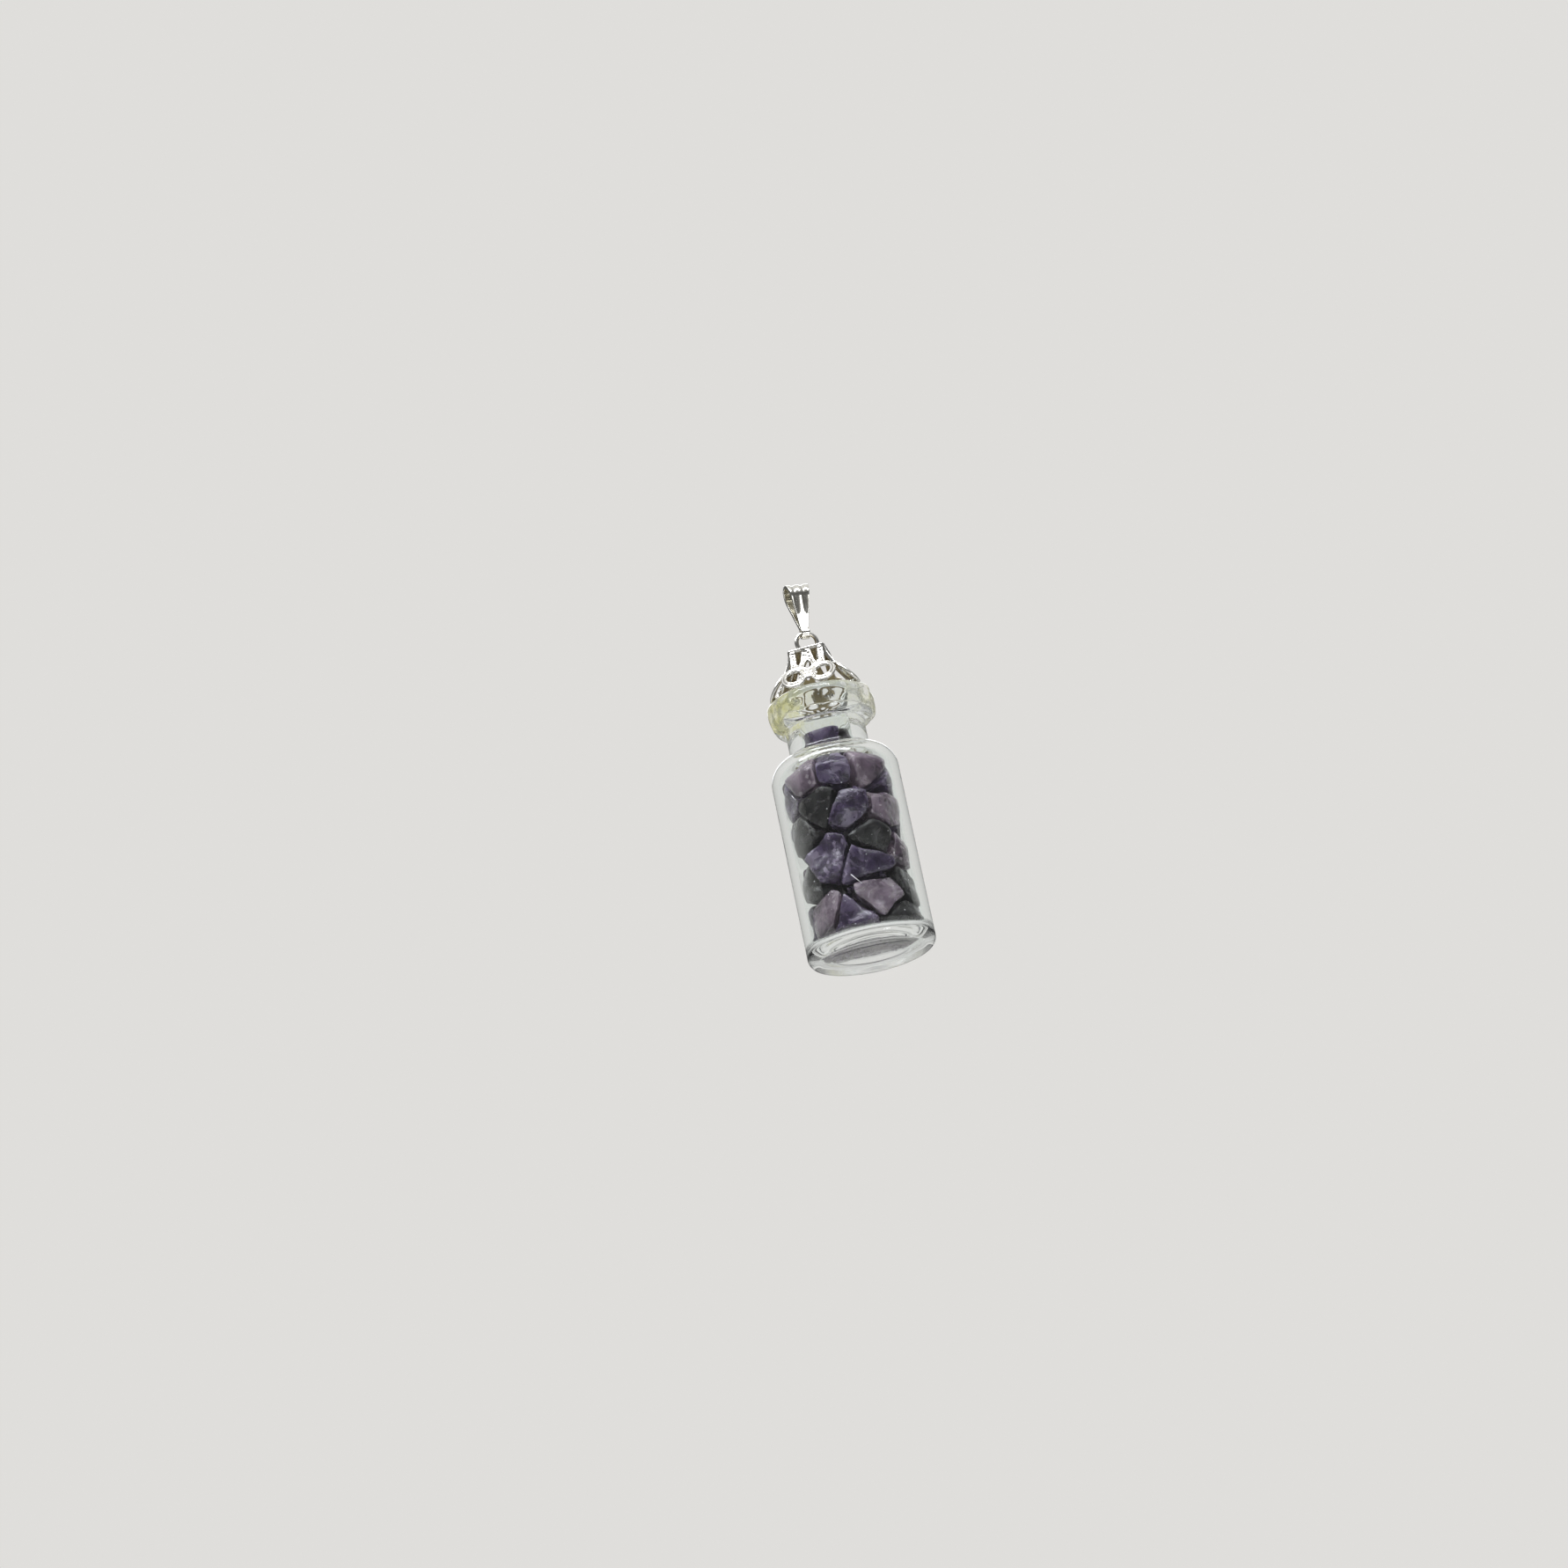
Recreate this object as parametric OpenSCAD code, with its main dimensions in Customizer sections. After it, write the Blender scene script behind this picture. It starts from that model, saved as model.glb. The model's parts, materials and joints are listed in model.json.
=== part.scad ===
// Bottle pendant: a glass vial of amethyst chips under a pierced metal cap,
// hung by a soldered loop from a folded bail.
//
// Frame: millimetres, +Z up, front towards -Y. The origin is the chain's seat,
// the highest point inside the bail's fold. The pendant hangs below it.

/* [Bail] */
// Height from the chain's seat down to the centre of the eye
bail_drop = 6.2; // [5.4:0.1:8]
// Thickness of the strip that the bail is folded from
bail_t = 0.4; // [0.3:0.05:0.5]
// Depth of the bail from front to back, over the bow at its top
bail_depth = 3.2; // [2.8:0.1:4]
// Width of the strip at the fold
bail_top_w = 3; // [2:0.1:4]
// Width of the strip where it closes into the eye
eye_w = 1.1; // [0.8:0.1:1.3]
// Thickness of the metal round the eye
eye_t = 0.3; // [0.2:0.05:0.35]
// Width of each flute down the front leaf
flute_w = 0.7; // [0.5:0.05:0.8]
// Depth of each flute where it leaves the fold
flute_cut = 0.14; // [0.08:0.02:0.2]
// Distance between the two flutes' centre lines
flute_pitch = 1.1; // [0.9:0.05:1.3]
// Length of the flutes down the front leaf
flute_run = 3; // [2:0.1:4]

/* [Loop] */
// Outer diameter of the wire loop on the cap
loop_d = 3.2; // [3:0.1:4]
// Thickness of the loop's wire
loop_wire = 0.55; // [0.4:0.05:0.6]
// Depth that the loop's foot sinks into the plate, where it is soldered
loop_sink = 0.3; // [0.2:0.02:0.32]

/* [Cap] */
// Width of the cap's square top plate
plate_w = 4.6; // [4.2:0.1:5.2]
// Thickness of the plate
plate_t = 0.35; // [0.34:0.01:0.5]
// Corner radius of the plate
plate_round = 0.35; // [0.2:0.05:0.6]
// Height of the petals, from the plate's top down to their tips
petal_h = 6.1; // [5:0.1:7]
// Thickness of a petal's metal, measured level
petal_t = 0.5; // [0.4:0.05:0.6]
// How far the petals' tips stand in from the lip's outer edge
tip_inset = 0.45; // [0.3:0.05:0.7]
// Turn of the petals about the bottle's axis, against the plane of the loop
petal_turn = -25; // [-45:1:45]
// Width of a petal where it leaves the plate
petal_top_w = 4.3; // [4:0.1:4.5]
// Width of a petal just above its rings
petal_waist_w = 4.5; // [4.2:0.1:4.8]
// Outer diameter of the two rings at a petal's foot
ring_d = 3.3; // [3:0.1:3.5]
// Hole through each ring
ring_hole_d = 1.95; // [1.6:0.05:2.1]
// Distance between the two rings' centres
ring_pitch = 3.7; // [3.4:0.1:4]
// Width of the bridge between the two rings
bridge_w = 1.6; // [1.4:0.1:1.9]
// Thickness of the raised bands across the bridge
band_d = 0.36; // [0.3:0.02:0.4]
// Width of the pointed arch above the bridge
arch_w = 1.05; // [0.8:0.05:1.2]
// Width of each side window at its top
window_top_w = 0.88; // [0.7:0.02:0.96]
// Width of each side window at its foot
window_foot_w = 0.36; // [0.2:0.02:0.5]

/* [Bottle] */
// Height of the bottle from its base to the top of its lip
bottle_h = 34.5; // [32:0.5:40]
// Diameter of the bottle's body
body_d = 16; // [15:0.5:18]
// Thickness of the body's wall
wall = 0.9; // [0.7:0.05:1.1]
// Thickness of the floor at its edge
floor_t = 1.6; // [1.4:0.1:2.2]
// Radius of the heel, round the base's outer edge
heel_r = 1.2; // [0.8:0.1:1.4]
// Diameter of the dome pressed up into the base
punt_d = 12.4; // [10:0.2:12.4]
// Height of that dome
punt_h = 0.6; // [0.4:0.1:1]
// Diameter of the neck
neck_d = 10; // [9.6:0.1:10.6]
// Height of the neck between the shoulder and the lip
neck_h = 3.7; // [3:0.1:5]
// Radius of the hollow where the shoulder turns up into the neck
neck_round = 0.8; // [0.4:0.1:1]
// Bore through the neck and the lip
bore_d = 6.4; // [6:0.1:7]
// Diameter of the rolled lip
lip_d = 12.6; // [12.2:0.1:13.4]
// Height of the lip
lip_h = 4.2; // [3.6:0.1:5]
// Radius of the lip's rounded edges
lip_round = 1; // [0.6:0.1:1.2]

/* [Resin seal] */
// Thickness of the resin that stands out past the lip
resin_t = 0.3; // [0.2:0.05:0.4]
// Height of the collar of resin round the lip
resin_h = 2.6; // [2.2:0.1:3.2]
// Diameter of the lumps that are squeezed out under the petals' rings
lump_d = 2.2; // [1.8:0.1:2.4]
// How far the lumps stand out past the lip
lump_stand = 0.4; // [0.3:0.02:0.5]
// How much lower than the highest lump the lowest one hangs
lump_drop = 0.4; // [0:0.1:0.8]

/* [Chips] */
// Depth of loose chips in the neck, above the shoulder
neck_fill = 3; // [2:0.1:3.4]
// Gap between a chip and its neighbours
chip_gap = 0.16; // [0.1:0.02:0.3]
// How much larger than its even share of the room a chip may be, as a share of it
chip_share = 0.16; // [0:0.02:0.2]

/* [Clearances] */
// Clearance between the loop's wire and the bail's eye
eye_clear = 0.09; // [0.06:0.01:0.15]
// Clearance between the petals' tips and the lip
seat_clear = 0.05; // [0.03:0.01:0.1]
// Clearance between the resin and the glass
resin_clear = 0.04; // [0.03:0.01:0.08]
// Clearance between the chips and the glass
chip_clear = 0.12; // [0.08:0.02:0.2]

/* [Hidden] */
$fn = 64;

// Places of the chips in the body, chosen by hand: the turn about the bottle's axis in degrees,
// where -90 is the front, the distance from the axis as a share of the room's radius, the height
// as a share of the room's height, and the tone
BODY_CHIPS = [
    // Front, from the shoulder down
    [-109, 0.7, 0.9, "violet"],
    [-64, 0.73, 0.91, "lilac"],
    [-148, 0.72, 0.89, "lilac"],
    [-178, 0.74, 0.79, "violet"],
    [-30, 0.72, 0.81, "violet"],
    [-131, 0.7, 0.7, "smoke"],
    [-101, 0.74, 0.65, "violet"],
    [-54, 0.72, 0.64, "lilac"],
    [-168, 0.71, 0.6, "smoke"],
    [-78, 0.7, 0.49, "smoke"],
    [-134, 0.75, 0.42, "violet"],
    [-94, 0.73, 0.35, "violet"],
    [-37, 0.72, 0.43, "lilac"],
    [-174, 0.72, 0.33, "smoke"],
    [-86, 0.74, 0.17, "lilac"],
    [-152, 0.71, 0.12, "lilac"],
    [-116, 0.7, 0.07, "violet"],
    [-40, 0.73, 0.22, "smoke"],
    [-59, 0.7, 0.04, "smoke"],
    // Back, in four rows from the shoulder down
    [14, 0.71, 0.9, "smoke"],
    [58, 0.74, 0.87, "violet"],
    [103, 0.7, 0.91, "violet"],
    [144, 0.72, 0.88, "lilac"],
    [-6, 0.7, 0.63, "violet"],
    [40, 0.73, 0.62, "lilac"],
    [88, 0.71, 0.66, "smoke"],
    [139, 0.74, 0.63, "violet"],
    [18, 0.72, 0.39, "smoke"],
    [73, 0.71, 0.37, "violet"],
    [128, 0.73, 0.4, "lilac"],
    [6, 0.73, 0.13, "lilac"],
    [55, 0.7, 0.14, "violet"],
    [106, 0.74, 0.11, "smoke"],
    [158, 0.71, 0.15, "violet"],
    // Middle
    [-60, 0.1, 0.88, "smoke"],
    [100, 0.12, 0.62, "violet"],
    [-150, 0.08, 0.37, "smoke"],
    [30, 0.1, 0.11, "lilac"],
];
// The same for the chips in the neck, whose room is the bore above the shoulder's ceiling
NECK_CHIPS = [
    [-128, 0.52, 0.5, "violet"],
    [-8, 0.52, 0.44, "smoke"],
    [112, 0.52, 0.57, "lilac"],
];
chips_in_body = len(BODY_CHIPS);
CHIPS = concat(BODY_CHIPS, NECK_CHIPS);
LAST = len(CHIPS) - 1;
function chip_name(i) = str("chip_", i < 9 ? "0" : "", i + 1);

// Loop and eye. The wire bends down by loop_sag within half the eye's width,
// and the eye's centre, which the drop swings about, is midway down that bend.
loop_r = (loop_d - loop_wire) / 2;
loop_sag = loop_r - sqrt(loop_r * loop_r - eye_w * eye_w / 4);
eye_r = (loop_wire + loop_sag) / 2 + eye_clear;
eye_z = -bail_drop;
loop_z = eye_z + loop_sag / 2 - loop_r;

// Heights of the main joints, from the top down
plate_z = loop_z - loop_d / 2 + loop_sink;
lip_z = plate_z - petal_h - seat_clear;
base_z = lip_z - bottle_h;

// Bottle
body_r = body_d / 2;
neck_r = neck_d / 2;
bore_r = bore_d / 2;
lip_r = lip_d / 2;
shoulder_r = body_r - neck_r;
shoulder_z = bottle_h - lip_h - neck_h - shoulder_r;
ceiling_r = shoulder_r - wall;
inner_r = body_r - wall;
bore_round = (neck_r - bore_r) / 2;
punt_r = (punt_d * punt_d / 4 + punt_h * punt_h) / (2 * punt_h);

// A petal's outer side, as shares of its reach past the plate and of its height
PETAL_SIDE = [[0, 0], [0.12, 0.3], [0.44, 0.6], [1, 1]];
plate_r = plate_w / 2;
tip_r = lip_r - tip_inset;

// The petal's openings, as shares of its height
window_top = 0.07;
window_foot = 0.39;
arch_top = 0.34;
arch_foot = 0.52;
bridge_top = 0.55;
bridge_foot = 0.79;
// Where the windows' centre lines stand, as shares of half the petal's width
window_top_u = 0.42;
window_foot_u = 0.53;

// Length that any cut or bounding block has to run past what it cuts
reach = 2 * body_d;
// Small lap by which joined outlines run into each other
lap = 0.1;

// A number from 0 to 1 that differs for each chip and each use of it
function vary(i, use) = let (s = sin(i * 127.1 + use * 311.7) * 437.585) s - floor(s);

// Room for the chips: the body's cavity up to the shoulder's ceiling, and the neck's bore
room_r = inner_r - chip_clear;
room_floor = floor_t + chip_clear;
room_ceiling = shoulder_z + ceiling_r - chip_clear;
fill_z = shoulder_z + shoulder_r + neck_fill;
room_h = room_ceiling - room_floor;
neck_room_r = bore_r - chip_clear;

// Centre of a chip, from its row in the table and the room that it lies in
function place(row, r, low, high) =
    [r * row[1] * cos(row[0]), r * row[1] * sin(row[0]), low + (high - low) * row[2]];
SEEDS = [
    for (i = [0:LAST])
        i < chips_in_body ? place(CHIPS[i], room_r, room_floor, room_ceiling)
        : place(CHIPS[i], neck_room_r, room_ceiling, fill_z)
];
// Spacing of the chips, if all had the same share of the room
chip_pitch = pow(PI * room_r * room_r * room_h / chips_in_body, 1 / 3);
// Chips further apart than this never touch
chip_reach = 2.8 * chip_pitch;

// Facets that break a chip's corners: their number, and the nearest and the furthest from its
// centre as shares of the spacing
corner_facets = 7;
corner_near = 0.53;
corner_far = 0.72;
// Chips in the body that lie further out than this share of the room's radius lie by the wall
wall_share = 0.5;
// The side that such a chip turns to the glass: its least and its most distance from the axis
// and the most that it leans up or down, as shares of the room's radius
glass_near = 0.94;
glass_far = 0.99;
glass_lean = 0.2;

// Tones of the chips
CHIP_COLOURS = [["violet", "#43366a"], ["lilac", "#8d8299"], ["smoke", "#2f3133"]];
function chip_tone(i) = CHIPS[i][3];
function chip_colour(i) = [for (tone = CHIP_COLOURS) if (tone[0] == chip_tone(i)) tone[1]][0];

// Side of the bail from the fold down to the eye: a round top and straight leaves that close
// at the eye's upper edge, where both leaves together are twice the strip's thickness
bow_r = bail_depth / 2;
bow_z = bail_t - bow_r;
pinch_z = eye_z + eye_r + eye_t;
leaf_h = bow_z - pinch_z;
// Radius of the crease where the two leaves meet
crease = 0.02;
module leaf_outline(r, foot) {
    // Tangent points of the straight leaf on the round top and on the foot
    lean = asin((r - foot) / leaf_h);
    top_point = [r * cos(lean), bow_z - r * sin(lean)];
    foot_point = [foot * cos(lean), pinch_z - foot * sin(lean)];
    translate([0, bow_z]) circle(r);
    polygon([[-top_point[0], top_point[1]], [-foot_point[0], foot_point[1]], foot_point, top_point]);
}
module bail_side() {
    difference() {
        union() {
            leaf_outline(bow_r, bail_t);
            translate([0, eye_z]) circle(eye_r + eye_t);
        }
        leaf_outline(bow_r - bail_t, crease);
        translate([0, eye_z]) circle(eye_r);
    }
}
module bail_front() {
    polygon([
        [-bail_top_w / 2, bail_t + lap],
        [-eye_w / 2, pinch_z],
        [-eye_w / 2, eye_z - bail_drop],
        [eye_w / 2, eye_z - bail_drop],
        [eye_w / 2, pinch_z],
        [bail_top_w / 2, bail_t + lap]
    ]);
}
// A flute's floor follows the fold at flute_cut below its surface, and meets the front leaf's
// surface at the flute's foot, so that the flute fades away downwards
module flute() {
    foot = bail_t + flute_cut * leaf_h / flute_run;
    rotate([90, 0, 90])
        linear_extrude(flute_w, center = true)
            difference() {
                translate([-bail_depth, pinch_z]) square([bail_depth, bail_t + lap - pinch_z]);
                leaf_outline(bow_r - flute_cut, foot);
            }
}
module bail() {
    color("silver")
        difference() {
            intersection() {
                rotate([90, 0, 90]) linear_extrude(2 * bail_top_w, center = true) bail_side();
                rotate([90, 0, 0]) linear_extrude(2 * bail_depth, center = true) bail_front();
            }
            for (side = [-1, 1]) translate([side * flute_pitch / 2, 0, 0]) flute();
        }
}

// A petal is a wall bent to its side outline, with the pierced front outline cut through it
module petal_side() {
    outer = [for (p = PETAL_SIDE) [plate_r + p[0] * (tip_r - plate_r), -p[1] * petal_h]];
    inner = [for (p = outer) p - [petal_t, 0]];
    last = len(outer) - 1;
    polygon(concat(inner, [for (i = [0:last]) outer[last - i]]));
}
module petal_window(side) {
    half = petal_waist_w / 2;
    top = side * window_top_u * half;
    foot = side * window_foot_u * half;
    polygon([
        [foot - window_foot_w / 2, -window_foot * petal_h],
        [foot + window_foot_w / 2, -window_foot * petal_h],
        [top + window_top_w / 2, -window_top * petal_h],
        [top - window_top_w / 2, -window_top * petal_h]
    ]);
}
// Two arcs that meet in a point, over a level foot
module petal_arch() {
    rise = (arch_foot - arch_top) * petal_h;
    r = (rise * rise + arch_w * arch_w / 4) / arch_w;
    translate([0, -arch_foot * petal_h])
        intersection() {
            translate([r - arch_w / 2, 0]) circle(r);
            translate([arch_w / 2 - r, 0]) circle(r);
            translate([-arch_w / 2, 0]) square([arch_w, rise]);
        }
}
module petal_front() {
    ring_z = ring_d / 2 - petal_h;
    difference() {
        union() {
            polygon([
                [-petal_waist_w / 2, -bridge_top * petal_h],
                [petal_waist_w / 2, -bridge_top * petal_h],
                [petal_top_w / 2, 0],
                [-petal_top_w / 2, 0]
            ]);
            for (side = [-1, 1]) translate([side * ring_pitch / 2, ring_z]) circle(ring_d / 2);
            translate([-bridge_w / 2, -bridge_foot * petal_h])
                square([bridge_w, (bridge_foot - arch_foot) * petal_h]);
        }
        for (side = [-1, 1]) translate([side * ring_pitch / 2, ring_z]) circle(ring_hole_d / 2);
        for (side = [-1, 1]) petal_window(side);
        petal_arch();
    }
}
// Two raised bands run across the bridge from ring to ring
module bands() {
    for (k = [0, 1]) {
        drop = bridge_top + (bridge_foot - bridge_top) * (k + 0.5) / 2;
        along = (drop - PETAL_SIDE[2][1]) / (1 - PETAL_SIDE[2][1]);
        share = PETAL_SIDE[2][0] + along * (1 - PETAL_SIDE[2][0]);
        translate([plate_r + share * (tip_r - plate_r), 0, -drop * petal_h])
            rotate([90, 0, 0])
                cylinder(h = bridge_w, d = band_d, center = true);
    }
}
module petal() {
    intersection() {
        rotate([90, 0, 0]) linear_extrude(2 * petal_waist_w, center = true) petal_side();
        rotate([90, 0, 90]) linear_extrude(tip_r + lap) petal_front();
    }
    bands();
}
module plate() {
    edge = plate_w - 2 * plate_round;
    translate([0, 0, -plate_t])
        linear_extrude(plate_t) {
            square([plate_w, edge], center = true);
            square([edge, plate_w], center = true);
            for (x = [-1, 1], y = [-1, 1]) translate([x * edge / 2, y * edge / 2]) circle(plate_round);
        }
}
module cap() {
    color("lightgray") {
        translate([0, 0, plate_z])
            rotate(petal_turn - 90) {
                plate();
                for (k = [0:3]) rotate(90 * k) petal();
            }
        translate([0, 0, loop_z])
            rotate([90, 0, 0])
                rotate_extrude() translate([loop_r, 0]) circle(loop_wire / 2);
    }
}

// Half outlines that the glass is turned from, with the base at zero
module lip_outline(grow = 0) {
    r = lip_round + grow;
    translate([0, bottle_h - lip_h - grow])
        union() {
            square([lip_r + grow - r, lip_h + 2 * grow]);
            translate([0, r]) square([lip_r + grow, lip_h + 2 * grow - 2 * r]);
            for (z = [r, lip_h + 2 * grow - r]) translate([lip_r + grow - r, z]) circle(r);
        }
}
module bottle_outside() {
    square([body_r - heel_r, shoulder_z]);
    translate([0, heel_r]) square([body_r, shoulder_z - heel_r]);
    translate([body_r - heel_r, heel_r]) circle(heel_r);
    square([neck_r, bottle_h - lip_h / 2]);
    translate([neck_r, shoulder_z]) circle(shoulder_r);
    // The hollow between shoulder and neck, tangent to both
    hollow_z = shoulder_z + sqrt(shoulder_r * shoulder_r + 2 * shoulder_r * neck_round);
    difference() {
        polygon([[neck_r - lap, shoulder_z], [neck_r, shoulder_z], [neck_r + neck_round, hollow_z],
            [neck_r - lap, hollow_z]]);
        translate([neck_r + neck_round, hollow_z]) circle(neck_round);
    }
    lip_outline();
}
// A glass edge that turns up into the bore, rounded off from the cavity's side
module bore_edge(z, up) {
    translate([bore_r, z])
        mirror([0, up ? 0 : 1])
            difference() {
                translate([-lap, -lap]) square(bore_round + lap);
                translate([bore_round, bore_round]) circle(bore_round);
            }
}
module bottle_inside() {
    ceiling_z = shoulder_z + ceiling_r;
    translate([0, floor_t]) square([inner_r - heel_r, shoulder_z - floor_t]);
    translate([0, floor_t + heel_r]) square([inner_r, shoulder_z - floor_t - heel_r]);
    translate([inner_r - heel_r, floor_t + heel_r]) circle(heel_r);
    translate([0, shoulder_z - lap]) square([neck_r, ceiling_r + lap]);
    translate([neck_r, shoulder_z]) circle(ceiling_r);
    translate([0, shoulder_z]) square([bore_r, bottle_h]);
    bore_edge(ceiling_z, true);
    bore_edge(bottle_h, false);
    translate([0, punt_h - punt_r]) circle(punt_r);
}
module bottle() {
    color([0.8, 0.88, 0.9, 0.35])
        translate([0, 0, base_z])
            rotate_extrude($fn = 96)
                difference() {
                    bottle_outside();
                    bottle_inside();
                }
}

// Resin: a thin collar hugging the lip's outside, with a lump under each ring of the petals
module resin_seal() {
    collar_z = bottle_h - lip_round - resin_h / 4;
    // Radius of a circle that stands resin_t past the lip and leaves it resin_h apart
    collar_r = (resin_h * resin_h / 4 + resin_t * resin_t) / (2 * resin_t);
    ring_turn = asin(ring_pitch / 2 / tip_r);
    lump_z = bottle_h - lump_d / 2;
    color([0.85, 0.87, 0.6, 0.6])
        translate([0, 0, base_z])
            difference() {
                union() {
                    rotate_extrude($fn = 96)
                        intersection() {
                            translate([lip_r + resin_t - collar_r, collar_z]) circle(collar_r);
                            translate([lip_r - lip_round, collar_z - resin_h / 2])
                                square([lip_round + resin_t + lap, resin_h]);
                        }
                    for (k = [0:3], side = [-1, 1])
                        rotate(petal_turn + 90 * k + side * ring_turn)
                            translate([0, lump_d / 2 - lip_r - lump_stand,
                                    lump_z - lump_drop * vary(2 * k + side, 7)])
                                sphere(d = lump_d);
                }
                rotate_extrude($fn = 96) lip_outline(resin_clear);
                // Nothing stands above the lip's top, where the petals' tips sit
                translate([0, 0, bottle_h]) linear_extrude(lump_d) circle(2 * lip_r);
            }
}

// Everything behind the plane through point p that faces direction n
module behind(p, n) {
    translate(p)
        rotate([0, atan2(norm([n[0], n[1]]), n[2]), atan2(n[1], n[0])])
            translate([-reach / 2, -reach / 2, -reach])
                cube(reach);
}
// Share of the way to chip j at which chip i's cell ends. Both shares add up to one.
function cell_share(i, j) = 0.5 + chip_share * (vary(i, 8) - vary(j, 8)) / 2;
// Chip i's side of the gap to chip j
module cell_side(i, j) {
    way = SEEDS[j] - SEEDS[i];
    far = norm(way);
    behind(SEEDS[i] + way * (cell_share(i, j) - chip_gap / 2 / far), way);
}
// A facet that breaks a corner off chip i, where the turns follow the golden angle, so that
// a chip's facets face all ways
module corner_facet(i, k) {
    turn = 360 * vary(i, 10) + 137.5 * k;
    up = asin((2 * k + 1) / corner_facets - 1);
    n = [cos(up) * cos(turn), cos(up) * sin(turn), sin(up)];
    behind(SEEDS[i] + n * chip_pitch * (corner_near + (corner_far - corner_near) * vary(i, 11 + k)), n);
}
// The flat side that a chip by the wall turns to the glass
module glass_facet(i) {
    out = [SEEDS[i][0], SEEDS[i][1], room_r * glass_lean * (2 * vary(i, 30) - 1)];
    far = norm([out[0], out[1]]);
    off = room_r * (glass_near + (glass_far - glass_near) * vary(i, 31));
    behind(SEEDS[i] + out * (off / far - 1), out);
}
module chip_room(i) {
    slope = room_ceiling - shoulder_z;
    // The room's foot narrows over half the heel's radius, inside the rounded corner of the floor
    foot = heel_r / 2;
    if (i < chips_in_body) {
        translate([0, 0, room_floor + foot]) cylinder(h = shoulder_z - room_floor - foot, r = room_r);
        translate([0, 0, room_floor]) cylinder(h = foot, r1 = room_r - foot, r2 = room_r);
        translate([0, 0, shoulder_z])
            cylinder(h = slope, r1 = room_r, r2 = room_r - slope);
    } else {
        translate([0, 0, shoulder_z]) cylinder(h = fill_z - shoulder_z, r = neck_room_r);
    }
}
module chip(i) {
    near = [for (j = [0:LAST]) if (j != i && norm(SEEDS[j] - SEEDS[i]) < chip_reach) j];
    color(chip_colour(i))
        translate([0, 0, base_z])
            intersection() {
                chip_room(i);
                intersection_for(j = near) cell_side(i, j);
                intersection_for(k = [0:corner_facets - 1]) corner_facet(i, k);
                if (CHIPS[i][1] > wall_share && i < chips_in_body) glass_facet(i);
                else chip_room(i);
            }
}

bail();
cap();
bottle();
resin_seal();
for (i = [0:LAST]) {
    chip(i);
}
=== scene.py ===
"""Looks of a bottle pendant: a glass vial of amethyst chips under a pierced silver cap on a folded
bail.

Every length is in metres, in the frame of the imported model: +Z up, front towards -Y, and the
chain's seat at the origin.
"""

import json
import math
import random

import bmesh
import bpy
from bpy.props import FloatProperty, FloatVectorProperty, IntProperty, PointerProperty
from bpy.types import Operator, Panel, PropertyGroup
from mathutils import Matrix, Vector, noise
from mathutils.bvhtree import BVHTree

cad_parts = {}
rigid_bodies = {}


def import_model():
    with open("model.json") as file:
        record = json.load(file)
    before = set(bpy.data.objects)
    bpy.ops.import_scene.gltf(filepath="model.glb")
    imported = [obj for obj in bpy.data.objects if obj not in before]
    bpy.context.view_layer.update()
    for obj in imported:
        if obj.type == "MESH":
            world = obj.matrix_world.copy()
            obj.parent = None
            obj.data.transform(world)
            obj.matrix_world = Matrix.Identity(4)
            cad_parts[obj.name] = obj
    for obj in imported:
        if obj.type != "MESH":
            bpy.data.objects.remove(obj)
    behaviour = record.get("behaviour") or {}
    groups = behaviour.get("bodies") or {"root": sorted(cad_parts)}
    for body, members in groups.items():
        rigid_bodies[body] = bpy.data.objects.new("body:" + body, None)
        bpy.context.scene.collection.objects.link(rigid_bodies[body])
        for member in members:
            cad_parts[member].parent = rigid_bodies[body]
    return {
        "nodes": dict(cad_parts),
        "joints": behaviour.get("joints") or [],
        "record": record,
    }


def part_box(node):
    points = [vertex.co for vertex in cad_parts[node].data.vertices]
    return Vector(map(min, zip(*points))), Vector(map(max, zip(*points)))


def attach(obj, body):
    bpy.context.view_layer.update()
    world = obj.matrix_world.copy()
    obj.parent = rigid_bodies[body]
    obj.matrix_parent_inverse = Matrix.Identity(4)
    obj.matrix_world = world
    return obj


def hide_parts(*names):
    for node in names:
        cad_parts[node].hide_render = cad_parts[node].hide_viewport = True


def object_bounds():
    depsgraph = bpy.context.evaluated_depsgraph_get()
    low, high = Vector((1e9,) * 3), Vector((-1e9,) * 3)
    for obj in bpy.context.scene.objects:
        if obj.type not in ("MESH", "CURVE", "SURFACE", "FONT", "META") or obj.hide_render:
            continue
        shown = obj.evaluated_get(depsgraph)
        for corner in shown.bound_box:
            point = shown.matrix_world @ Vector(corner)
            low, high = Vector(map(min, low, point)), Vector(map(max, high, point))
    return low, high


bl_info = {
    "name": "Bottle pendant",
    "version": (1, 0, 0),
    "blender": (4, 5, 0),
    "location": "3D View > Sidebar > Pendant",
    "description": "Builds a glass bottle pendant of amethyst chips round its packed solids",
    "category": "Add Mesh",
}

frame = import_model()
CAD_LOW, CAD_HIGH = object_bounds()
MM = 0.001
CHIP_NODES = sorted(name for name in frame["nodes"] if name.startswith("chip_"))
SLOTS = {row["node"]: row["material_slot"] for row in frame["record"]["subparts"]}
SWING = next(joint for joint in frame["joints"] if joint["name"] == "drop_swing")
EYE = Vector(SWING["pos_m"])
BOTTLE_LOW, BOTTLE_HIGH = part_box("bottle")
CAP_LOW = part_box("cap")[0]
BASE_Z = BOTTLE_LOW.z
LIP_Z = BOTTLE_HIGH.z


def length(label, text, default, low=0.0, high=0.1):
    """A size in metres for a group of settings."""
    return FloatProperty(name=label, description=text, default=default, min=low, max=high,
                         unit="LENGTH", subtype="DISTANCE", precision=5)


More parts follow.
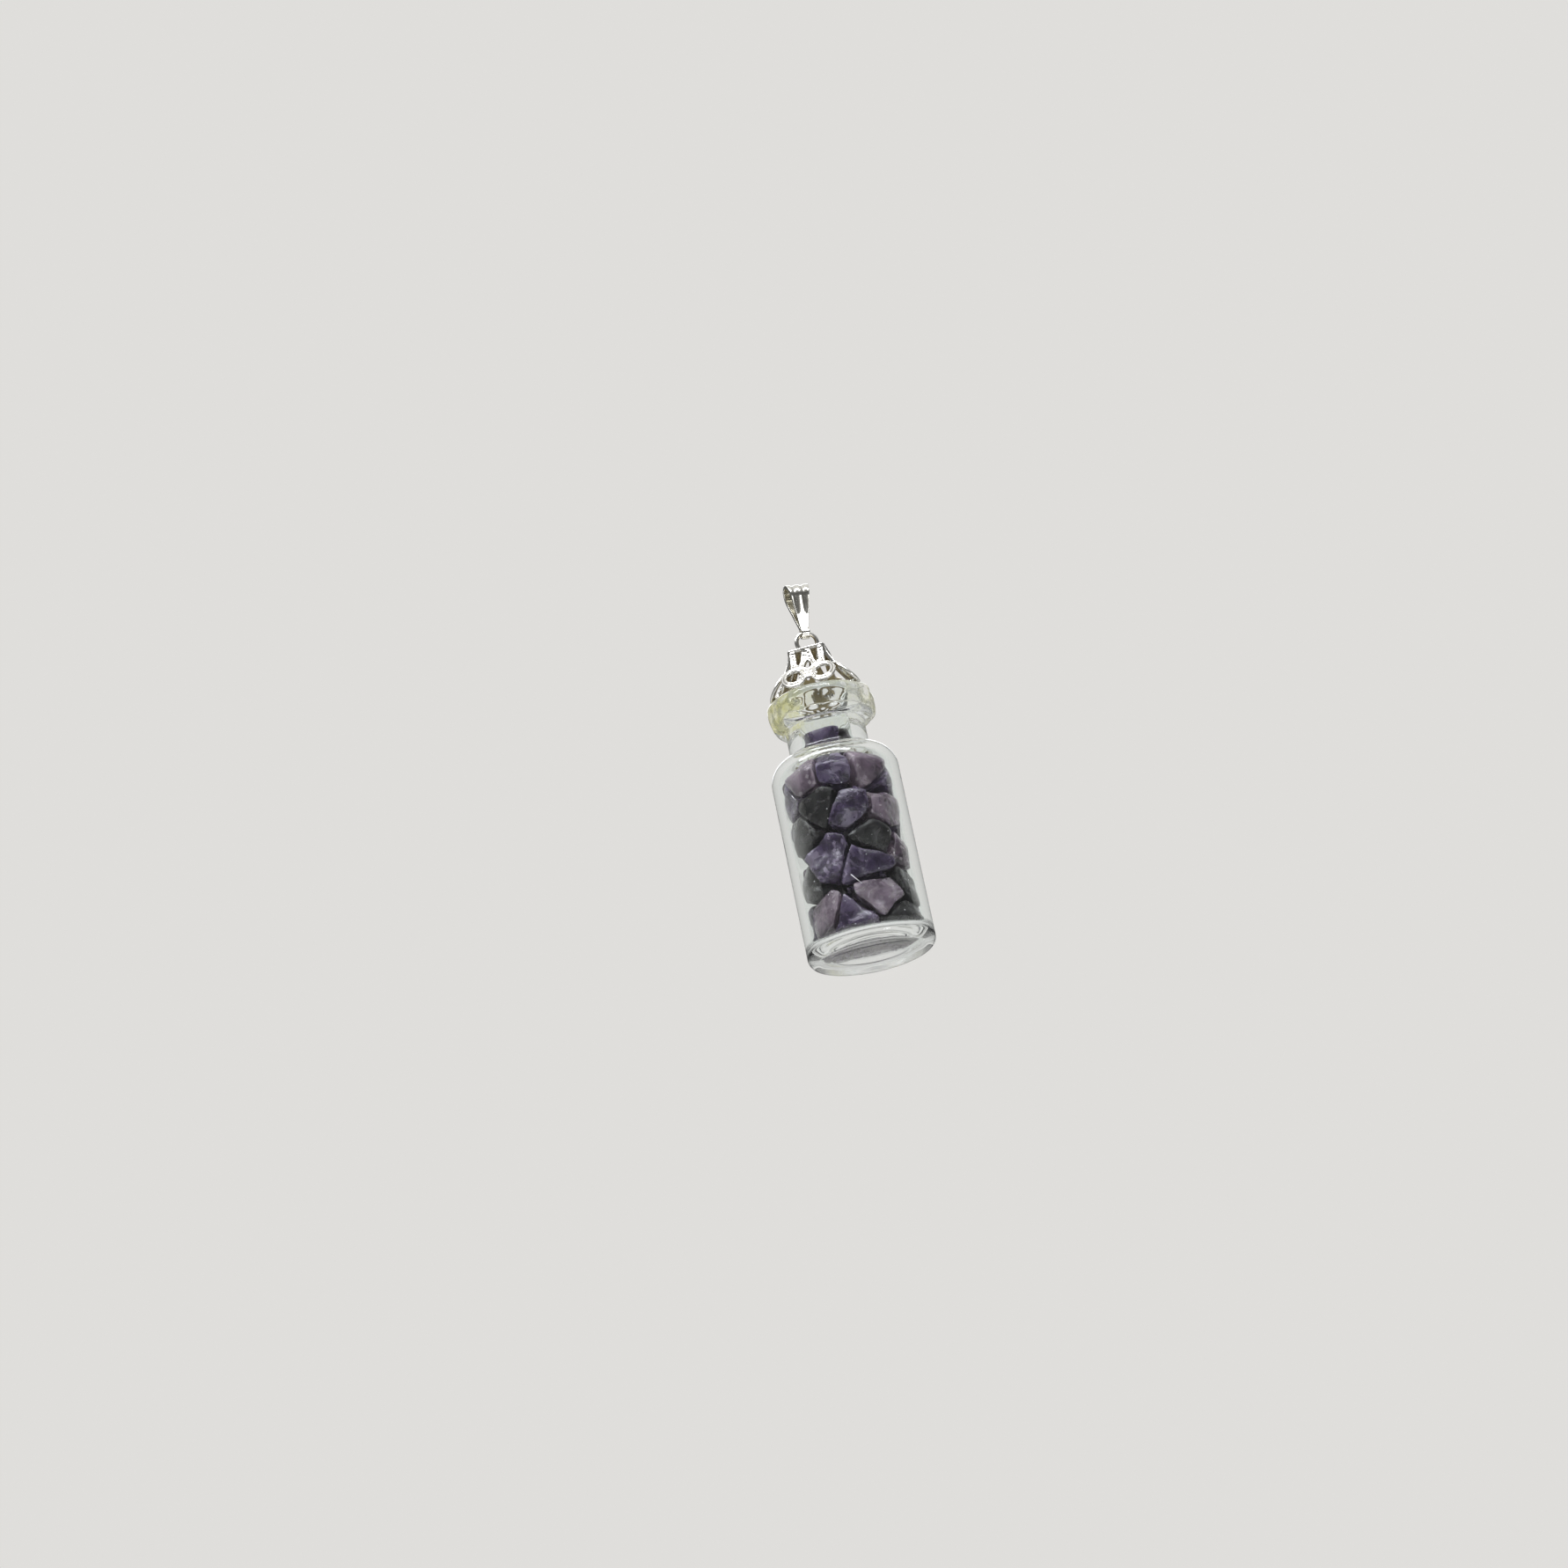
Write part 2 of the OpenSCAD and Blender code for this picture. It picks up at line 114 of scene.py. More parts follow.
def angle(label, text, degrees):
    """A turn for a group of settings."""
    return FloatProperty(name=label, description=text, default=math.radians(degrees),
                         subtype="ANGLE", unit="ROTATION")


def number(label, text, default, low=0, high=300):
    """A whole number for a group of settings."""
    return IntProperty(name=label, description=text, default=default, min=low, max=high)


class BailSettings(PropertyGroup):
    strip_t: length("Strip thickness", "Thickness of the folded strip", 0.4 * MM)
    depth: length("Fold depth", "Depth of the fold from front to back", 3.2 * MM)
    top_w: length("Top width", "Width of the strip at the fold", 3.0 * MM)
    eye_w: length("Eye width", "Width of the strip at the eye", 1.1 * MM)
    eye_hole_r: length("Eye hole", "Radius of the hole that runs on the loop's wire", 0.425 * MM)
    eye_t: length("Eye thickness", "Thickness of the metal round the eye", 0.3 * MM)
    flute_w: length("Flute width", "Width of each flute", 0.94 * MM)
    flute_cut: length("Flute depth", "Depth of each flute where it leaves the fold", 0.2 * MM)
    flute_pitch: length("Flute spacing", "Distance between the flutes' centre lines", 1.14 * MM)
    flute_run: length("Flute length", "Length of the flutes down the front leaf", 2.3 * MM)
    voxel: length("Fineness", "Grain at which strip and eye are fused", 0.04 * MM)


class CapSettings(PropertyGroup):
    loop_d: length("Loop", "Outer diameter of the wire loop", 3.2 * MM)
    loop_wire: length("Loop wire", "Thickness of the loop's wire", 0.55 * MM)
    loop_sink: length("Solder depth", "Depth that the loop sinks into the plate", 0.3 * MM)
    plate_w: length("Plate width", "Width of the square plate", 4.6 * MM)
    plate_t: length("Plate thickness", "Thickness of the plate", 0.35 * MM)
    plate_round: length("Plate corners", "Corner radius of the plate", 0.35 * MM)
    petal_h: length("Petal height", "Height from the petals' tips to the plate's top", 6.1 * MM)
    tip_r: length("Tip reach", "Distance of the petals' tips from the axis", 5.85 * MM)
    petal_turn: angle("Petal turn", "Turn of the petals about the axis", -25)
    petal_waist_w: length("Petal waist", "Width of a petal just above its rings", 4.5 * MM)
    petal_t: length("Petal thickness", "Thickness of the petals' metal", 0.4 * MM)
    ring_d: length("Ring", "Outer diameter of the rings at a petal's foot", 3.3 * MM)
    ring_hole_d: length("Ring hole", "Hole through each ring", 1.85 * MM)
    ring_pitch: length("Ring spacing", "Distance between the two rings' centres", 3.7 * MM)
    ring_bead: length("Ring bead", "Width of the raised bead round each hole", 0.42 * MM)
    relief: length("Relief", "Width of the raised lines on the petals", 0.2 * MM)
    bead_d: length("Beads", "Diameter of the beads along the posts", 0.4 * MM)
    voxel: length("Fineness", "Grain at which the cap's parts are fused", 0.074 * MM)


class BottleSettings(PropertyGroup):
    wall: length("Wall", "Thickness of the body's wall", 0.9 * MM)
    floor_t: length("Floor", "Thickness of the floor at its edge", 1.6 * MM)
    heel_r: length("Heel", "Radius of the heel round the base", 1.2 * MM)
    punt_d: length("Dome width", "Diameter of the dome pressed up into the base", 12.4 * MM)
    punt_h: length("Dome height", "Height of that dome", 0.6 * MM)
    neck_d: length("Neck", "Diameter of the neck", 10.0 * MM)
    neck_h: length("Neck height", "Height of the neck between shoulder and lip", 3.7 * MM)
    neck_round: length("Neck hollow", "Radius of the hollow where the shoulder turns up", 0.8 * MM)
    bore_d: length("Bore", "Bore through the neck and the lip", 6.4 * MM)
    lip_d: length("Lip", "Diameter of the rolled lip", 12.6 * MM)
    lip_h: length("Lip height", "Height of the lip", 4.2 * MM)
    lip_round: length("Lip rounding", "Radius of the lip's rounded edges", 1.0 * MM)
    ripple: length("Ripple", "Depth of the shallow ripples that moulded glass has", 0.03 * MM)
    steps: number("Turn steps", "Steps of the turned glass", 192, 48, 256)


class ResinSettings(PropertyGroup):
    clearance: length("Clearance", "Gap between the resin and the glass", 0.04 * MM)
    collar_t: length("Thickness", "Resin that stands out past the lip", 0.42 * MM)
    collar_h: length("Height", "Height of the collar of resin", 2.7 * MM)
    sag: length("Sag", "How far the collar's lower edge wanders", 0.7 * MM)
    drip: length("Drip", "How far the longest drip hangs below the collar", 2.5 * MM)
    steps: number("Turn steps", "Steps of the turned resin", 200, 48, 256)


class ChipSettings(PropertyGroup):
    voxel: length("Fineness", "Grain of the chips' surfaces", 0.16 * MM)
    rounding: number("Rounding", "Rounds of smoothing that tumble a chip's edges", 70, 0, 200)
    fill: FloatProperty(name="Fill", description="How far a rounded chip gets its old size back",
                        default=0.8, min=0.0, max=1.0)
    hollow: length("Hollows", "Depth of the shallow hollows worn into a chip", 0.85 * MM)
    hollow_size: length("Hollow size", "Distance over which the hollows vary", 2.8 * MM)
    pit: length("Pits", "Depth of the small pits in a chip", 0.07 * MM)
    wall_gap: length("Wall gap", "Least gap between a chip and the glass", 0.1 * MM)
    crumbs: number("Crumbs", "Most crumbs of stone between the chips", 85)
    # The specks are painted glints on the chips, partly quartz
    specks: number("Specks", "Specks of quartz, besides the placed ones", 90)


class StageSettings(PropertyGroup):
    azimuth: angle("View azimuth", "Turn of the camera round the pendant", -17)
    elevation: angle("View height", "Height of the view above the level", -19)
    roll: angle("View roll", "Lean of the pendant in the picture", 12)
    aside: length("Offset across", "How far right of the picture's middle it hangs", 6.15 * MM)
    above: length("Offset up", "How far above the picture's middle it hangs", 1.98 * MM)
    distance: length("Distance", "Distance from the camera to the pendant", 0.46, high=2.0)
    lens: FloatProperty(name="Lens", description="Focal length in millimetres", default=85.0,
                        min=20.0, max=200.0)
    floor_z: length("Floor", "Height of the floor under the pendant", -0.32, -2.0, -0.05)
    backdrop: FloatVectorProperty(name="Backdrop", description="Pale colour behind the pendant",
                                  default=(0.74, 0.73, 0.71), size=3, min=0.0, max=1.0,
                                  subtype="COLOR")


def turned(bm, outline, steps):
    """Spins an outline of (radius, height) points, both ends on the axis or closed, about Z."""
    corners = [bm.verts.new((r, 0, z)) for r, z in outline]
    for a, b in zip(corners, corners[1:]):
        bm.edges.new((a, b))
    if outline[0][0] > 0:
        bm.edges.new((corners[-1], corners[0]))
    bmesh.ops.spin(bm, geom=bm.verts[:] + bm.edges[:], cent=(0, 0, 0), axis=(0, 0, 1),
                   angle=2 * math.pi, steps=steps, use_merge=True)
    bmesh.ops.remove_doubles(bm, verts=bm.verts, dist=1e-6)
    bmesh.ops.recalc_face_normals(bm, faces=bm.faces)


def arc(centre_r, centre_z, radius, start, end, steps=10):
    """Points of an arc from one angle to another, in degrees."""
    points = []
    for k in range(steps + 1):
        turn = math.radians(start + (end - start) * k / steps)
        points.append((centre_r + radius * math.cos(turn), centre_z + radius * math.sin(turn)))
    return points


# A whole circle of radius 1
FULL_ROUND = arc(0, 0, 1, 0, 360 - 22.5, 15)


def run(start, end, steps):
    """Points from start to end, without the end."""
    a, b = Vector(start), Vector(end)
    return [tuple(a.lerp(b, k / steps)) for k in range(steps)]


def set_radius(v, r, new_r):
    """Moves a vertex that is r away from the axis to new_r, on the same level."""
    v.co.x *= new_r / r
    v.co.y *= new_r / r


def add_mesh(name, bm):
    """A new object that holds the bmesh."""
    mesh = bpy.data.meshes.new(name)
    bm.to_mesh(mesh)
    bm.free()
    mesh.shade_smooth()
    piece = bpy.data.objects.new(name, mesh)
    bpy.context.scene.collection.objects.link(piece)
    return piece


def join(bm, other, place=Matrix()):
    """Adds another bmesh to this one, moved and turned by place, and frees it."""
    other.transform(place)
    mesh = bpy.data.meshes.new("joined")
    other.to_mesh(mesh)
    other.free()
    bm.from_mesh(mesh)
    bpy.data.meshes.remove(mesh)


def add_ball(bm, place, size, fineness=2):
    """A bead, as wide, deep and high as size says. Gives back its vertices."""
    matrix = Matrix.Translation(place) @ Matrix.Diagonal((*(k / 2 for k in size), 1))
    return bmesh.ops.create_icosphere(bm, subdivisions=fineness, radius=1, matrix=matrix)["verts"]


def bake_modifiers(piece):
    """Puts what the piece's modifiers make into its mesh."""
    graph = bpy.context.evaluated_depsgraph_get()
    mesh = bpy.data.meshes.new_from_object(piece.evaluated_get(graph))
    old = piece.data
    piece.modifiers.clear()
    piece.data = mesh
    mesh.name = old.name
    bpy.data.meshes.remove(old)
    mesh.shade_smooth()


def fuse(piece, voxel, rounds):
    """Fuses a piece's overlapping shells into one skin and smooths it."""
    remesh = piece.modifiers.new("Fuse", "REMESH")
    remesh.mode = "VOXEL"
    remesh.voxel_size = voxel
    smooth = piece.modifiers.new("Smooth", "SMOOTH")
    smooth.factor = 0.5
    smooth.iterations = rounds
    bake_modifiers(piece)


def dress(piece, body, material):
    """Gives a piece its finish and the body that it moves with."""
    piece.data.materials.clear()
    piece.data.materials.append(material)
    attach(piece, body)


def fill(owner, node, inputs):
    """Feeds a node's inputs, by name or number, each from a socket, a number or a colour."""
    for key, value in inputs.items():
        socket = node.inputs[key]
        if isinstance(value, bpy.types.NodeSocket):
            owner.node_tree.links.new(value, socket)
        else:
            socket.default_value = (*value, 1.0) if socket.type == "RGBA" else value


def add_node(owner, kind, inputs, **settings):
    """Adds a node to a material or a world and gives back its outputs."""
    node = owner.node_tree.nodes.new("ShaderNode" + kind)
    for name, value in settings.items():
        setattr(node, name, value)
    fill(owner, node, inputs)
    return node.outputs


def new_material(name):
    """A material, its shader and the place on the piece."""
    material = bpy.data.materials.new(name)
    material.use_nodes = True
    place = add_node(material, "TexCoord", {})["Object"]
    return material, material.node_tree.nodes["Principled BSDF"], place


def add_noise(owner, vector, size, detail=4.0, roughness=0.55, distortion=0.0):
    """Noise whose features are about size metres across."""
    return add_node(owner, "TexNoise", {"Vector": vector, "Scale": 1 / size, "Detail": detail,
                                        "Roughness": roughness, "Distortion": distortion})["Fac"]


def add_ramp(owner, factor, stops):
    """A colour ramp over (position, colour) stops."""
    node = owner.node_tree.nodes.new("ShaderNodeValToRGB")
    elements = node.color_ramp.elements
    while len(elements) < len(stops):
        elements.new(0.5)
    for element, (position, tone) in zip(elements, stops):
        element.position = position
        element.color = (*tone, 1.0)
    fill(owner, node, {"Fac": factor})
    return node.outputs["Color"]


def add_range(owner, factor, low, high, to_low=0.0, to_high=1.0):
    """Maps a factor from one range to another."""
    return add_node(owner, "MapRange", {"Value": factor, "From Min": low, "From Max": high,
                                        "To Min": to_low, "To Max": to_high})["Result"]


def add_mix(owner, factor, a, b):
    """Mixes two colours, each a socket or a tone."""
    return add_node(owner, "Mix", {"Factor": factor, "A": a, "B": b}, data_type="RGBA")["Result"]


def add_maths(owner, operation, a, b):
    """One step of arithmetic on two values, each a socket or a number."""
    return add_node(owner, "Math", {0: a, 1: b}, operation=operation)["Value"]


def add_bump(owner, height, strength, distance):
    """The normal of a skin that a height makes uneven."""
    return add_node(owner, "Bump", {"Height": height, "Strength": strength,
                                    "Distance": distance})["Normal"]


def inward(material, place):
    """How much a face turns towards the bottle's axis, from 0 to 1."""
    level = add_node(material, "VectorMath", {0: place, 1: (-1, -1, 0)}, operation="MULTIPLY")
    inwards = add_node(material, "VectorMath", {0: level["Vector"]}, operation="NORMALIZE")
    skin = add_node(material, "TexCoord", {})["Normal"]
    facing = add_node(material, "VectorMath", {0: inwards["Vector"], 1: skin},
                      operation="DOT_PRODUCT")
    return add_range(material, facing["Value"], 0.2, 0.6)


# Painted shade for the cap's inside: a dark yellowish tone, and the roughness given there
INSIDE_SHADE_TONE = (0.40, 0.33, 0.20)
DULL_ROUGH = (0.45, 0.45, 0.45)


def silver_material(name, bright, dark, rough_low, rough_high, painted_inside_shade=False):
    """Bright plated metal, darker in its recesses and with faint smears of wear. On a cap, the
    faces turned towards the axis get painted shade, a dark yellowish tone, and are rougher."""
    material, shader, place = new_material(name)
    bulge = add_node(material, "NewGeometry", {})["Pointiness"]
    recess = add_range(material, bulge, 0.44, 0.53)
    smear = add_noise(material, place, 1.4 * MM, 5.0, 0.6, 0.4)
    tone = add_ramp(material, smear, [(0.3, tuple(0.9 * c for c in bright)), (0.65, bright)])
    rough = add_range(material, smear, 0.3, 0.7, rough_low, rough_high)
    finish = add_mix(material, recess, dark, tone)
    if painted_inside_shade:
        # Faces turned towards the axis get painted shade: a dark yellowish tone and more roughness
        inside = inward(material, place)
        finish = add_mix(material, inside, finish, INSIDE_SHADE_TONE)
        rough = add_mix(material, inside, rough, DULL_ROUGH)
    grain = add_noise(material, place, 0.12 * MM, 3.0)
    fill(material, shader, {
        "Metallic": 1.0,
        "Base Color": finish,
        "Roughness": rough,
        "Normal": add_bump(material, grain, 0.12, 0.02 * MM),
    })
    return material


def glass_material():
    """Clear moulded glass with faint waves."""
    material, shader, place = new_material("clear_glass")
    haze = add_noise(material, place, 6 * MM, 3.0)
    tone = add_ramp(material, haze, [(0.3, (0.93, 0.97, 0.96)), (0.7, (0.97, 0.99, 0.98))])
    wave = add_noise(material, place, 4 * MM, 2.0)
    fill(material, shader, {
        "Transmission Weight": 1.0,
        "IOR": 1.5,
        "Base Color": tone,
        "Roughness": add_range(material, haze, 0.35, 0.7, 0.0, 0.03),
        "Normal": add_bump(material, wave, 0.15, 0.1 * MM),
    })
    return material


def resin_material():
    """Clear resin, glossy, yellow-green where it stands thick: on the left and where it is seen
    edge on."""
    material, shader, place = new_material("clear_resin")
    streak = add_noise(material, place, 3.2 * MM, 4.0, 0.6, 1.5)
    thick = add_ramp(material, streak, [(0.42, (0.84, 0.82, 0.42)), (0.62, (0.93, 0.93, 0.74))])
    thin = add_ramp(material, streak, [(0.3, (0.95, 0.95, 0.82)), (0.5, (0.99, 0.99, 0.97))])
    aside = add_node(material, "SeparateXYZ", {"Vector": place})["X"]
    right = add_range(material, aside, -7 * MM, -2.5 * MM)
    slant = add_node(material, "LayerWeight", {})["Facing"]
    edge = add_range(material, slant, 0.35, 0.8, 0.0, 0.8)
    dimple = add_noise(material, place, 0.9 * MM, 2.0)
    fill(material, shader, {
        "Transmission Weight": 1.0,
        "IOR": 1.45,
        "Base Color": add_mix(material, right, thick, add_mix(material, edge, thin, thick)),
        "Roughness": add_range(material, streak, 0.3, 0.7, 0.0, 0.06),
        "Normal": add_bump(material, dimple, 0.2, 0.12 * MM),
    })
    return material


# Tones of the three kinds of stone: the body, the veins and the frosted patches
STONE_TONES = {
    "amethyst_violet": ((0.013, 0.006, 0.023), (0.060, 0.035, 0.095), (0.38, 0.31, 0.44)),
    "amethyst_lilac": ((0.055, 0.034, 0.056), (0.20, 0.135, 0.19), (0.62, 0.54, 0.59)),
    "amethyst_smoke": ((0.003, 0.003, 0.003), (0.015, 0.013, 0.014), (0.13, 0.12, 0.12)),
}
STONE_IOR = 1.54


def stone_material(slot):
    """Tumbled amethyst: cloudy depth, veins and frosted patches under a polished skin."""
    body, vein, frost_and_edge_glow = STONE_TONES[slot]
    material, shader, place = new_material(slot)
    cloud = add_noise(material, place, 2.4 * MM, 5.0, 0.6, 0.9)
    drift = add_noise(material, place, 5 * MM, 2.0)
    pale = tuple(0.6 * v + 0.4 * f for v, f in zip(vein, frost_and_edge_glow))
    depth = add_mix(material, add_range(material, drift, 0.45, 0.7, 0.0, 0.7),
                    add_ramp(material, cloud, [(0.38, body), (0.64, vein)]),
                    add_ramp(material, cloud, [(0.38, vein), (0.64, pale)]))
    patch = add_noise(material, place, 2.2 * MM, 4.0, 0.6, 0.8)
    frosted = add_range(material, patch, 0.5, 0.85, 0.0, 0.9)
    veined = add_mix(material, frosted, depth, frost_and_edge_glow)
    # Paler convex edges in the frost tone: partly frost worn by tumbling, partly painted light for
    # the glow of thin edges that light shines through
    bulge = add_node(material, "NewGeometry", {})["Pointiness"]
    frost_and_glow_on_edges = add_range(material, bulge, 0.505, 0.56, 0.0, 0.6)
    pits = add_noise(material, place, 0.4 * MM, 5.0, 0.6)
    fill(material, shader, {
        "Transmission Weight": 0.5,
        "IOR": STONE_IOR,
        "Subsurface Weight": 0.35,
        "Subsurface Radius": (1.0, 0.8, 1.3),
        "Subsurface Scale": 0.8 * MM,
        "Sheen Weight": 0.06,
        "Sheen Roughness": 0.3,
        "Sheen Tint": (0.8, 0.75, 0.95),
        "Base Color": add_mix(material, frost_and_glow_on_edges, veined, frost_and_edge_glow),
        "Roughness": add_range(material, patch, 0.35, 0.75, 0.08, 0.4),
        "Normal": add_bump(material, pits, 0.35, 0.08 * MM),
    })
    return material


def glint_and_quartz_material():
    """Pale, bright tone of the small specks: painted glints, partly clear quartz."""
    material, shader, place = new_material("pale_quartz_glints")
    haze = add_noise(material, place, 0.3 * MM, 2.0)
    tone = add_ramp(material, haze, [(0.3, (0.75, 0.73, 0.8)), (0.7, (0.95, 0.94, 0.97))])
    fill(material, shader, {"Base Color": tone, "Roughness": 0.15, "IOR": STONE_IOR})
    return material


def fold_point(s, across, along):
    """Place and outward direction on the bail's outer skin. along runs from 0 at the front leaf's
    foot over the fold to 1 at the back leaf's foot, and across from -1 to 1."""
    bow_r = s.depth / 2
    bow_z = s.strip_t - bow_r
    pinch_z = EYE.z + s.eye_hole_r + s.eye_t
    leaf_h = bow_z - pinch_z
    lean = math.asin((bow_r - s.strip_t) / leaf_h)
    leaf = leaf_h * math.cos(lean)
    bend = bow_r * (math.pi + 2 * lean)
    travel = along * (2 * leaf + bend)
    if leaf < travel < leaf + bend:
        turn = (travel - leaf) / bow_r - lean
        out = Vector((0, -math.cos(turn), math.sin(turn)))
        place = Vector((0, 0, bow_z)) + bow_r * out
    else:
        side = -1 if travel <= leaf else 1
        rise = travel if side < 0 else 2 * leaf + bend - travel
        out = Vector((0, side * math.cos(lean), -math.sin(lean)))
        foot = Vector((0, 0, pinch_z)) + s.strip_t * out
        place = foot + rise * Vector((0, side * math.sin(lean), math.cos(lean)))
    top = s.strip_t
    half = s.eye_w / 2 + (s.top_w - s.eye_w) / 2 * max(0, (place.z - pinch_z) / (top - pinch_z))
    place.x = across * half
    return place, out, travel - leaf


def flute_depth(s, x, past_leaf):
    """Depth of the two flutes at a place on the outer skin. They fade out down the front leaf."""
    bend = s.depth / 2 * math.pi
    fade = min(1, max(0, 1 + past_leaf / s.flute_run))
    fade *= min(1, max(0, 1.6 - past_leaf / (0.5 * bend)))
    dip = 0
    for side in (-1, 1):
        off = abs(x - side * s.flute_pitch / 2) / (s.flute_w / 2)
        if off < 1:
            dip += 0.5 + 0.5 * math.cos(math.pi * off)
    return s.flute_cut * fade * dip


class PENDANT_OT_bail(Operator):
    """Make the tapered bail: a strip folded over at the top, fluted in front, with an eye below"""

    bl_idname = "pendant.bail"
    bl_label = "Bail"

    def execute(self, context):
        s = context.scene.pendant_bail
        bm = bmesh.new()
        bmesh.ops.create_grid(bm, x_segments=36, y_segments=150, size=1)
        outer = bm.verts[:]
        flat = {v: (v.co.x, (v.co.y + 1) / 2) for v in outer}
        outward = {}
        for v, (across, along) in flat.items():
            v.co, outward[v], past = fold_point(s, across, along)
            outward[v] = outward[v] * flute_depth(s, v.co.x, past)
        bmesh.ops.recalc_face_normals(bm, faces=bm.faces)
        bm.normal_update()
        # The strip gets its thickness inwards, so its uppermost face has to look up
        middle = min(bm.faces, key=lambda f: (f.calc_center_median() - Vector((0, 0, 1))).length)
        if middle.normal.z < 0:
            bmesh.ops.reverse_faces(bm, faces=bm.faces)
        bmesh.ops.solidify(bm, geom=bm.faces[:], thickness=s.strip_t)
        for v, dip in outward.items():
            v.co -= dip
        eye = bmesh.new()
        low, high = s.eye_hole_r, s.eye_hole_r + s.eye_t
        bevel = 0.08 * MM
        half = s.eye_w / 2
        section = [(low, -half), (high - bevel, -half), (high, bevel - half), (high, half - bevel),
                   (high - bevel, half), (low, half)]
        turned(eye, section, 64)
        join(bm, eye, Matrix.Translation(EYE) @ Matrix.Rotation(math.pi / 2, 4, "Y"))
        piece = add_mesh("bail_strip", bm)
        fuse(piece, s.voxel, 4)
        dress(piece, SWING["parent"],
              silver_material("bail_silver", (0.90, 0.885, 0.82), (0.30, 0.28, 0.22), 0.07, 0.17))
        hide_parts("bail")
        return {"FINISHED"}


# Length of the short pieces that a bar is made of, and how far they overlap, as a factor
ROD_STEP = 0.5 * MM
ROD_OVERLAP = 1.04


def add_rod(bm, start, end, width, thick):
    """A rounded bar between two places on the flat petal, each (across, down, out)."""
    a, b = Vector(start), Vector(end)
    way = b - a
    turn = way.to_track_quat("Z", "Y").to_matrix()
    steps = max(1, round(way.length / ROD_STEP))
    for k in range(steps):
        place = Matrix.Translation(a + way * (k + 0.5) / steps) @ turn.to_4x4()
        made = bmesh.ops.create_cone(bm, segments=16, radius1=0.5, radius2=0.5, cap_ends=True,
                                     depth=ROD_OVERLAP * way.length / steps, matrix=place)
        flatten(made["verts"], place, width, thick)
    for tip in (a, b):
        add_ball(bm, tip, (width, width, thick))


def flatten(verts, place, width, thick):
    """Brings a unit rod to its width across the petal and its thickness out of it."""
    centre = place.translation
    along = place.to_3x3() @ Vector((0, 0, 1))
    across = Vector((0, 0, 1)).cross(along).normalized()
    for v in verts:
        off = v.co - centre
        v.co = (centre + along * off.dot(along) + across * off.dot(across) * width
                + Vector((0, 0, off.z * thick)))


def add_ring(bm, place, outer_d, hole_d, thick):
    """A rounded ring that lies flat on the petal."""
    ring = bmesh.new()
    wide = (outer_d - hole_d) / 4
    middle = (outer_d + hole_d) / 4
    turned(ring, [(middle + r * wide, z * thick / 2) for r, z in FULL_ROUND], 48)
    join(bm, ring, Matrix.Translation(place))


def add_sheet(bm, corners, out, thick):
    """A flat sheet between corners on the petal, thick metres through."""
    verts = [bm.verts.new((x, y, out - thick / 2)) for x, y in corners]
    face = bm.faces.new(verts)
    made = bmesh.ops.extrude_face_region(bm, geom=[face])
    top = [v for v in made["geom"] if isinstance(v, bmesh.types.BMVert)]
    bmesh.ops.translate(bm, verts=top, vec=(0, 0, thick))
    whole = [f for f in bm.faces if any(v in verts or v in top for v in f.verts)]
    bmesh.ops.recalc_face_normals(bm, faces=whole)
    sides = list({e for f in whole for e in f.edges})
    bmesh.ops.subdivide_edges(bm, edges=sides, cuts=3, use_grid_fill=True)


# The petal's reach past the plate as a share, from the powers of the height's share
REACH = (-0.05, 1.68, -0.63)


def petal_reach(s, down):
    """Distance from the axis and slope of a petal's outer skin, down metres below the plate's
    top."""
    t = min(1.0, max(0.0, down / s.petal_h))
    span = s.tip_r - s.plate_w / 2
    part = sum(k * t ** (n + 1) for n, k in enumerate(REACH))
    steep = sum((n + 1) * k * t ** n for n, k in enumerate(REACH))
    return s.plate_w / 2 + span * part, math.atan(steep * span / s.petal_h)


# One side of a petal, mirrored to the other. Places are (across, down), as shares of half the
# petal's waist and of its height. Between the panels lie the window and half of the arch.
PETAL_PANELS = (
    ((0, 0), (0.95, 0), (0.96, 0.07), (0, 0.07)),
    ((0, 0.07), (0.22, 0.07), (0.41, 0.34), (0, 0.34)),
    ((0.62, 0.07), (0.96, 0.07), (0.985, 0.4), (0.61, 0.4)),
    ((0, 0.33), (0.41, 0.33), (0.45, 0.4), (0.14, 0.4)),
    ((0.14, 0.4), (0.985, 0.4), (1, 0.53), (0.23, 0.53)),
    ((0, 0.57), (0.23, 0.52), (0.5, 0.62), (0, 0.62)),
    ((0, 0.6), (0.36, 0.6), (0.36, 0.79), (0, 0.79)),
)
# Raised lines on that side, each from one place to the next
PETAL_LINES = (
    ((0, 0.025), (0.93, 0.025)),
    ((0.16, 0.04), (0.35, 0.36), (0.5, 0.45)),
    ((0, 0.31), (0.17, 0.38), (0.29, 0.5), (0, 0.6)),
    ((0.68, 0.05), (0.67, 0.4)),
    ((0.91, 0.03), (0.94, 0.45)),
    ((0.48, 0.86), (0.2, 0.81), (0, 0.8)),
)
# Raised scrolls on that side: place and diameter in millimetres
PETAL_SCROLLS = (((0.66, 0.455), 0.75), ((0.4, 0.5), 0.55))
# Bands across the bridge: how far down, as a share, and width in millimetres
BRIDGE_BANDS = ((0.635, 0.2), (0.675, 0.2), (0.745, 0.4))
# Beads along a post: how far across, how far down the first one is, the step and their number
POST_BEADS = (0.79, 0.09, 0.068, 5)
# Fine grains on the strut between the windows: number and diameter
GRAINS = 14
GRAIN_D = 0.26 * MM


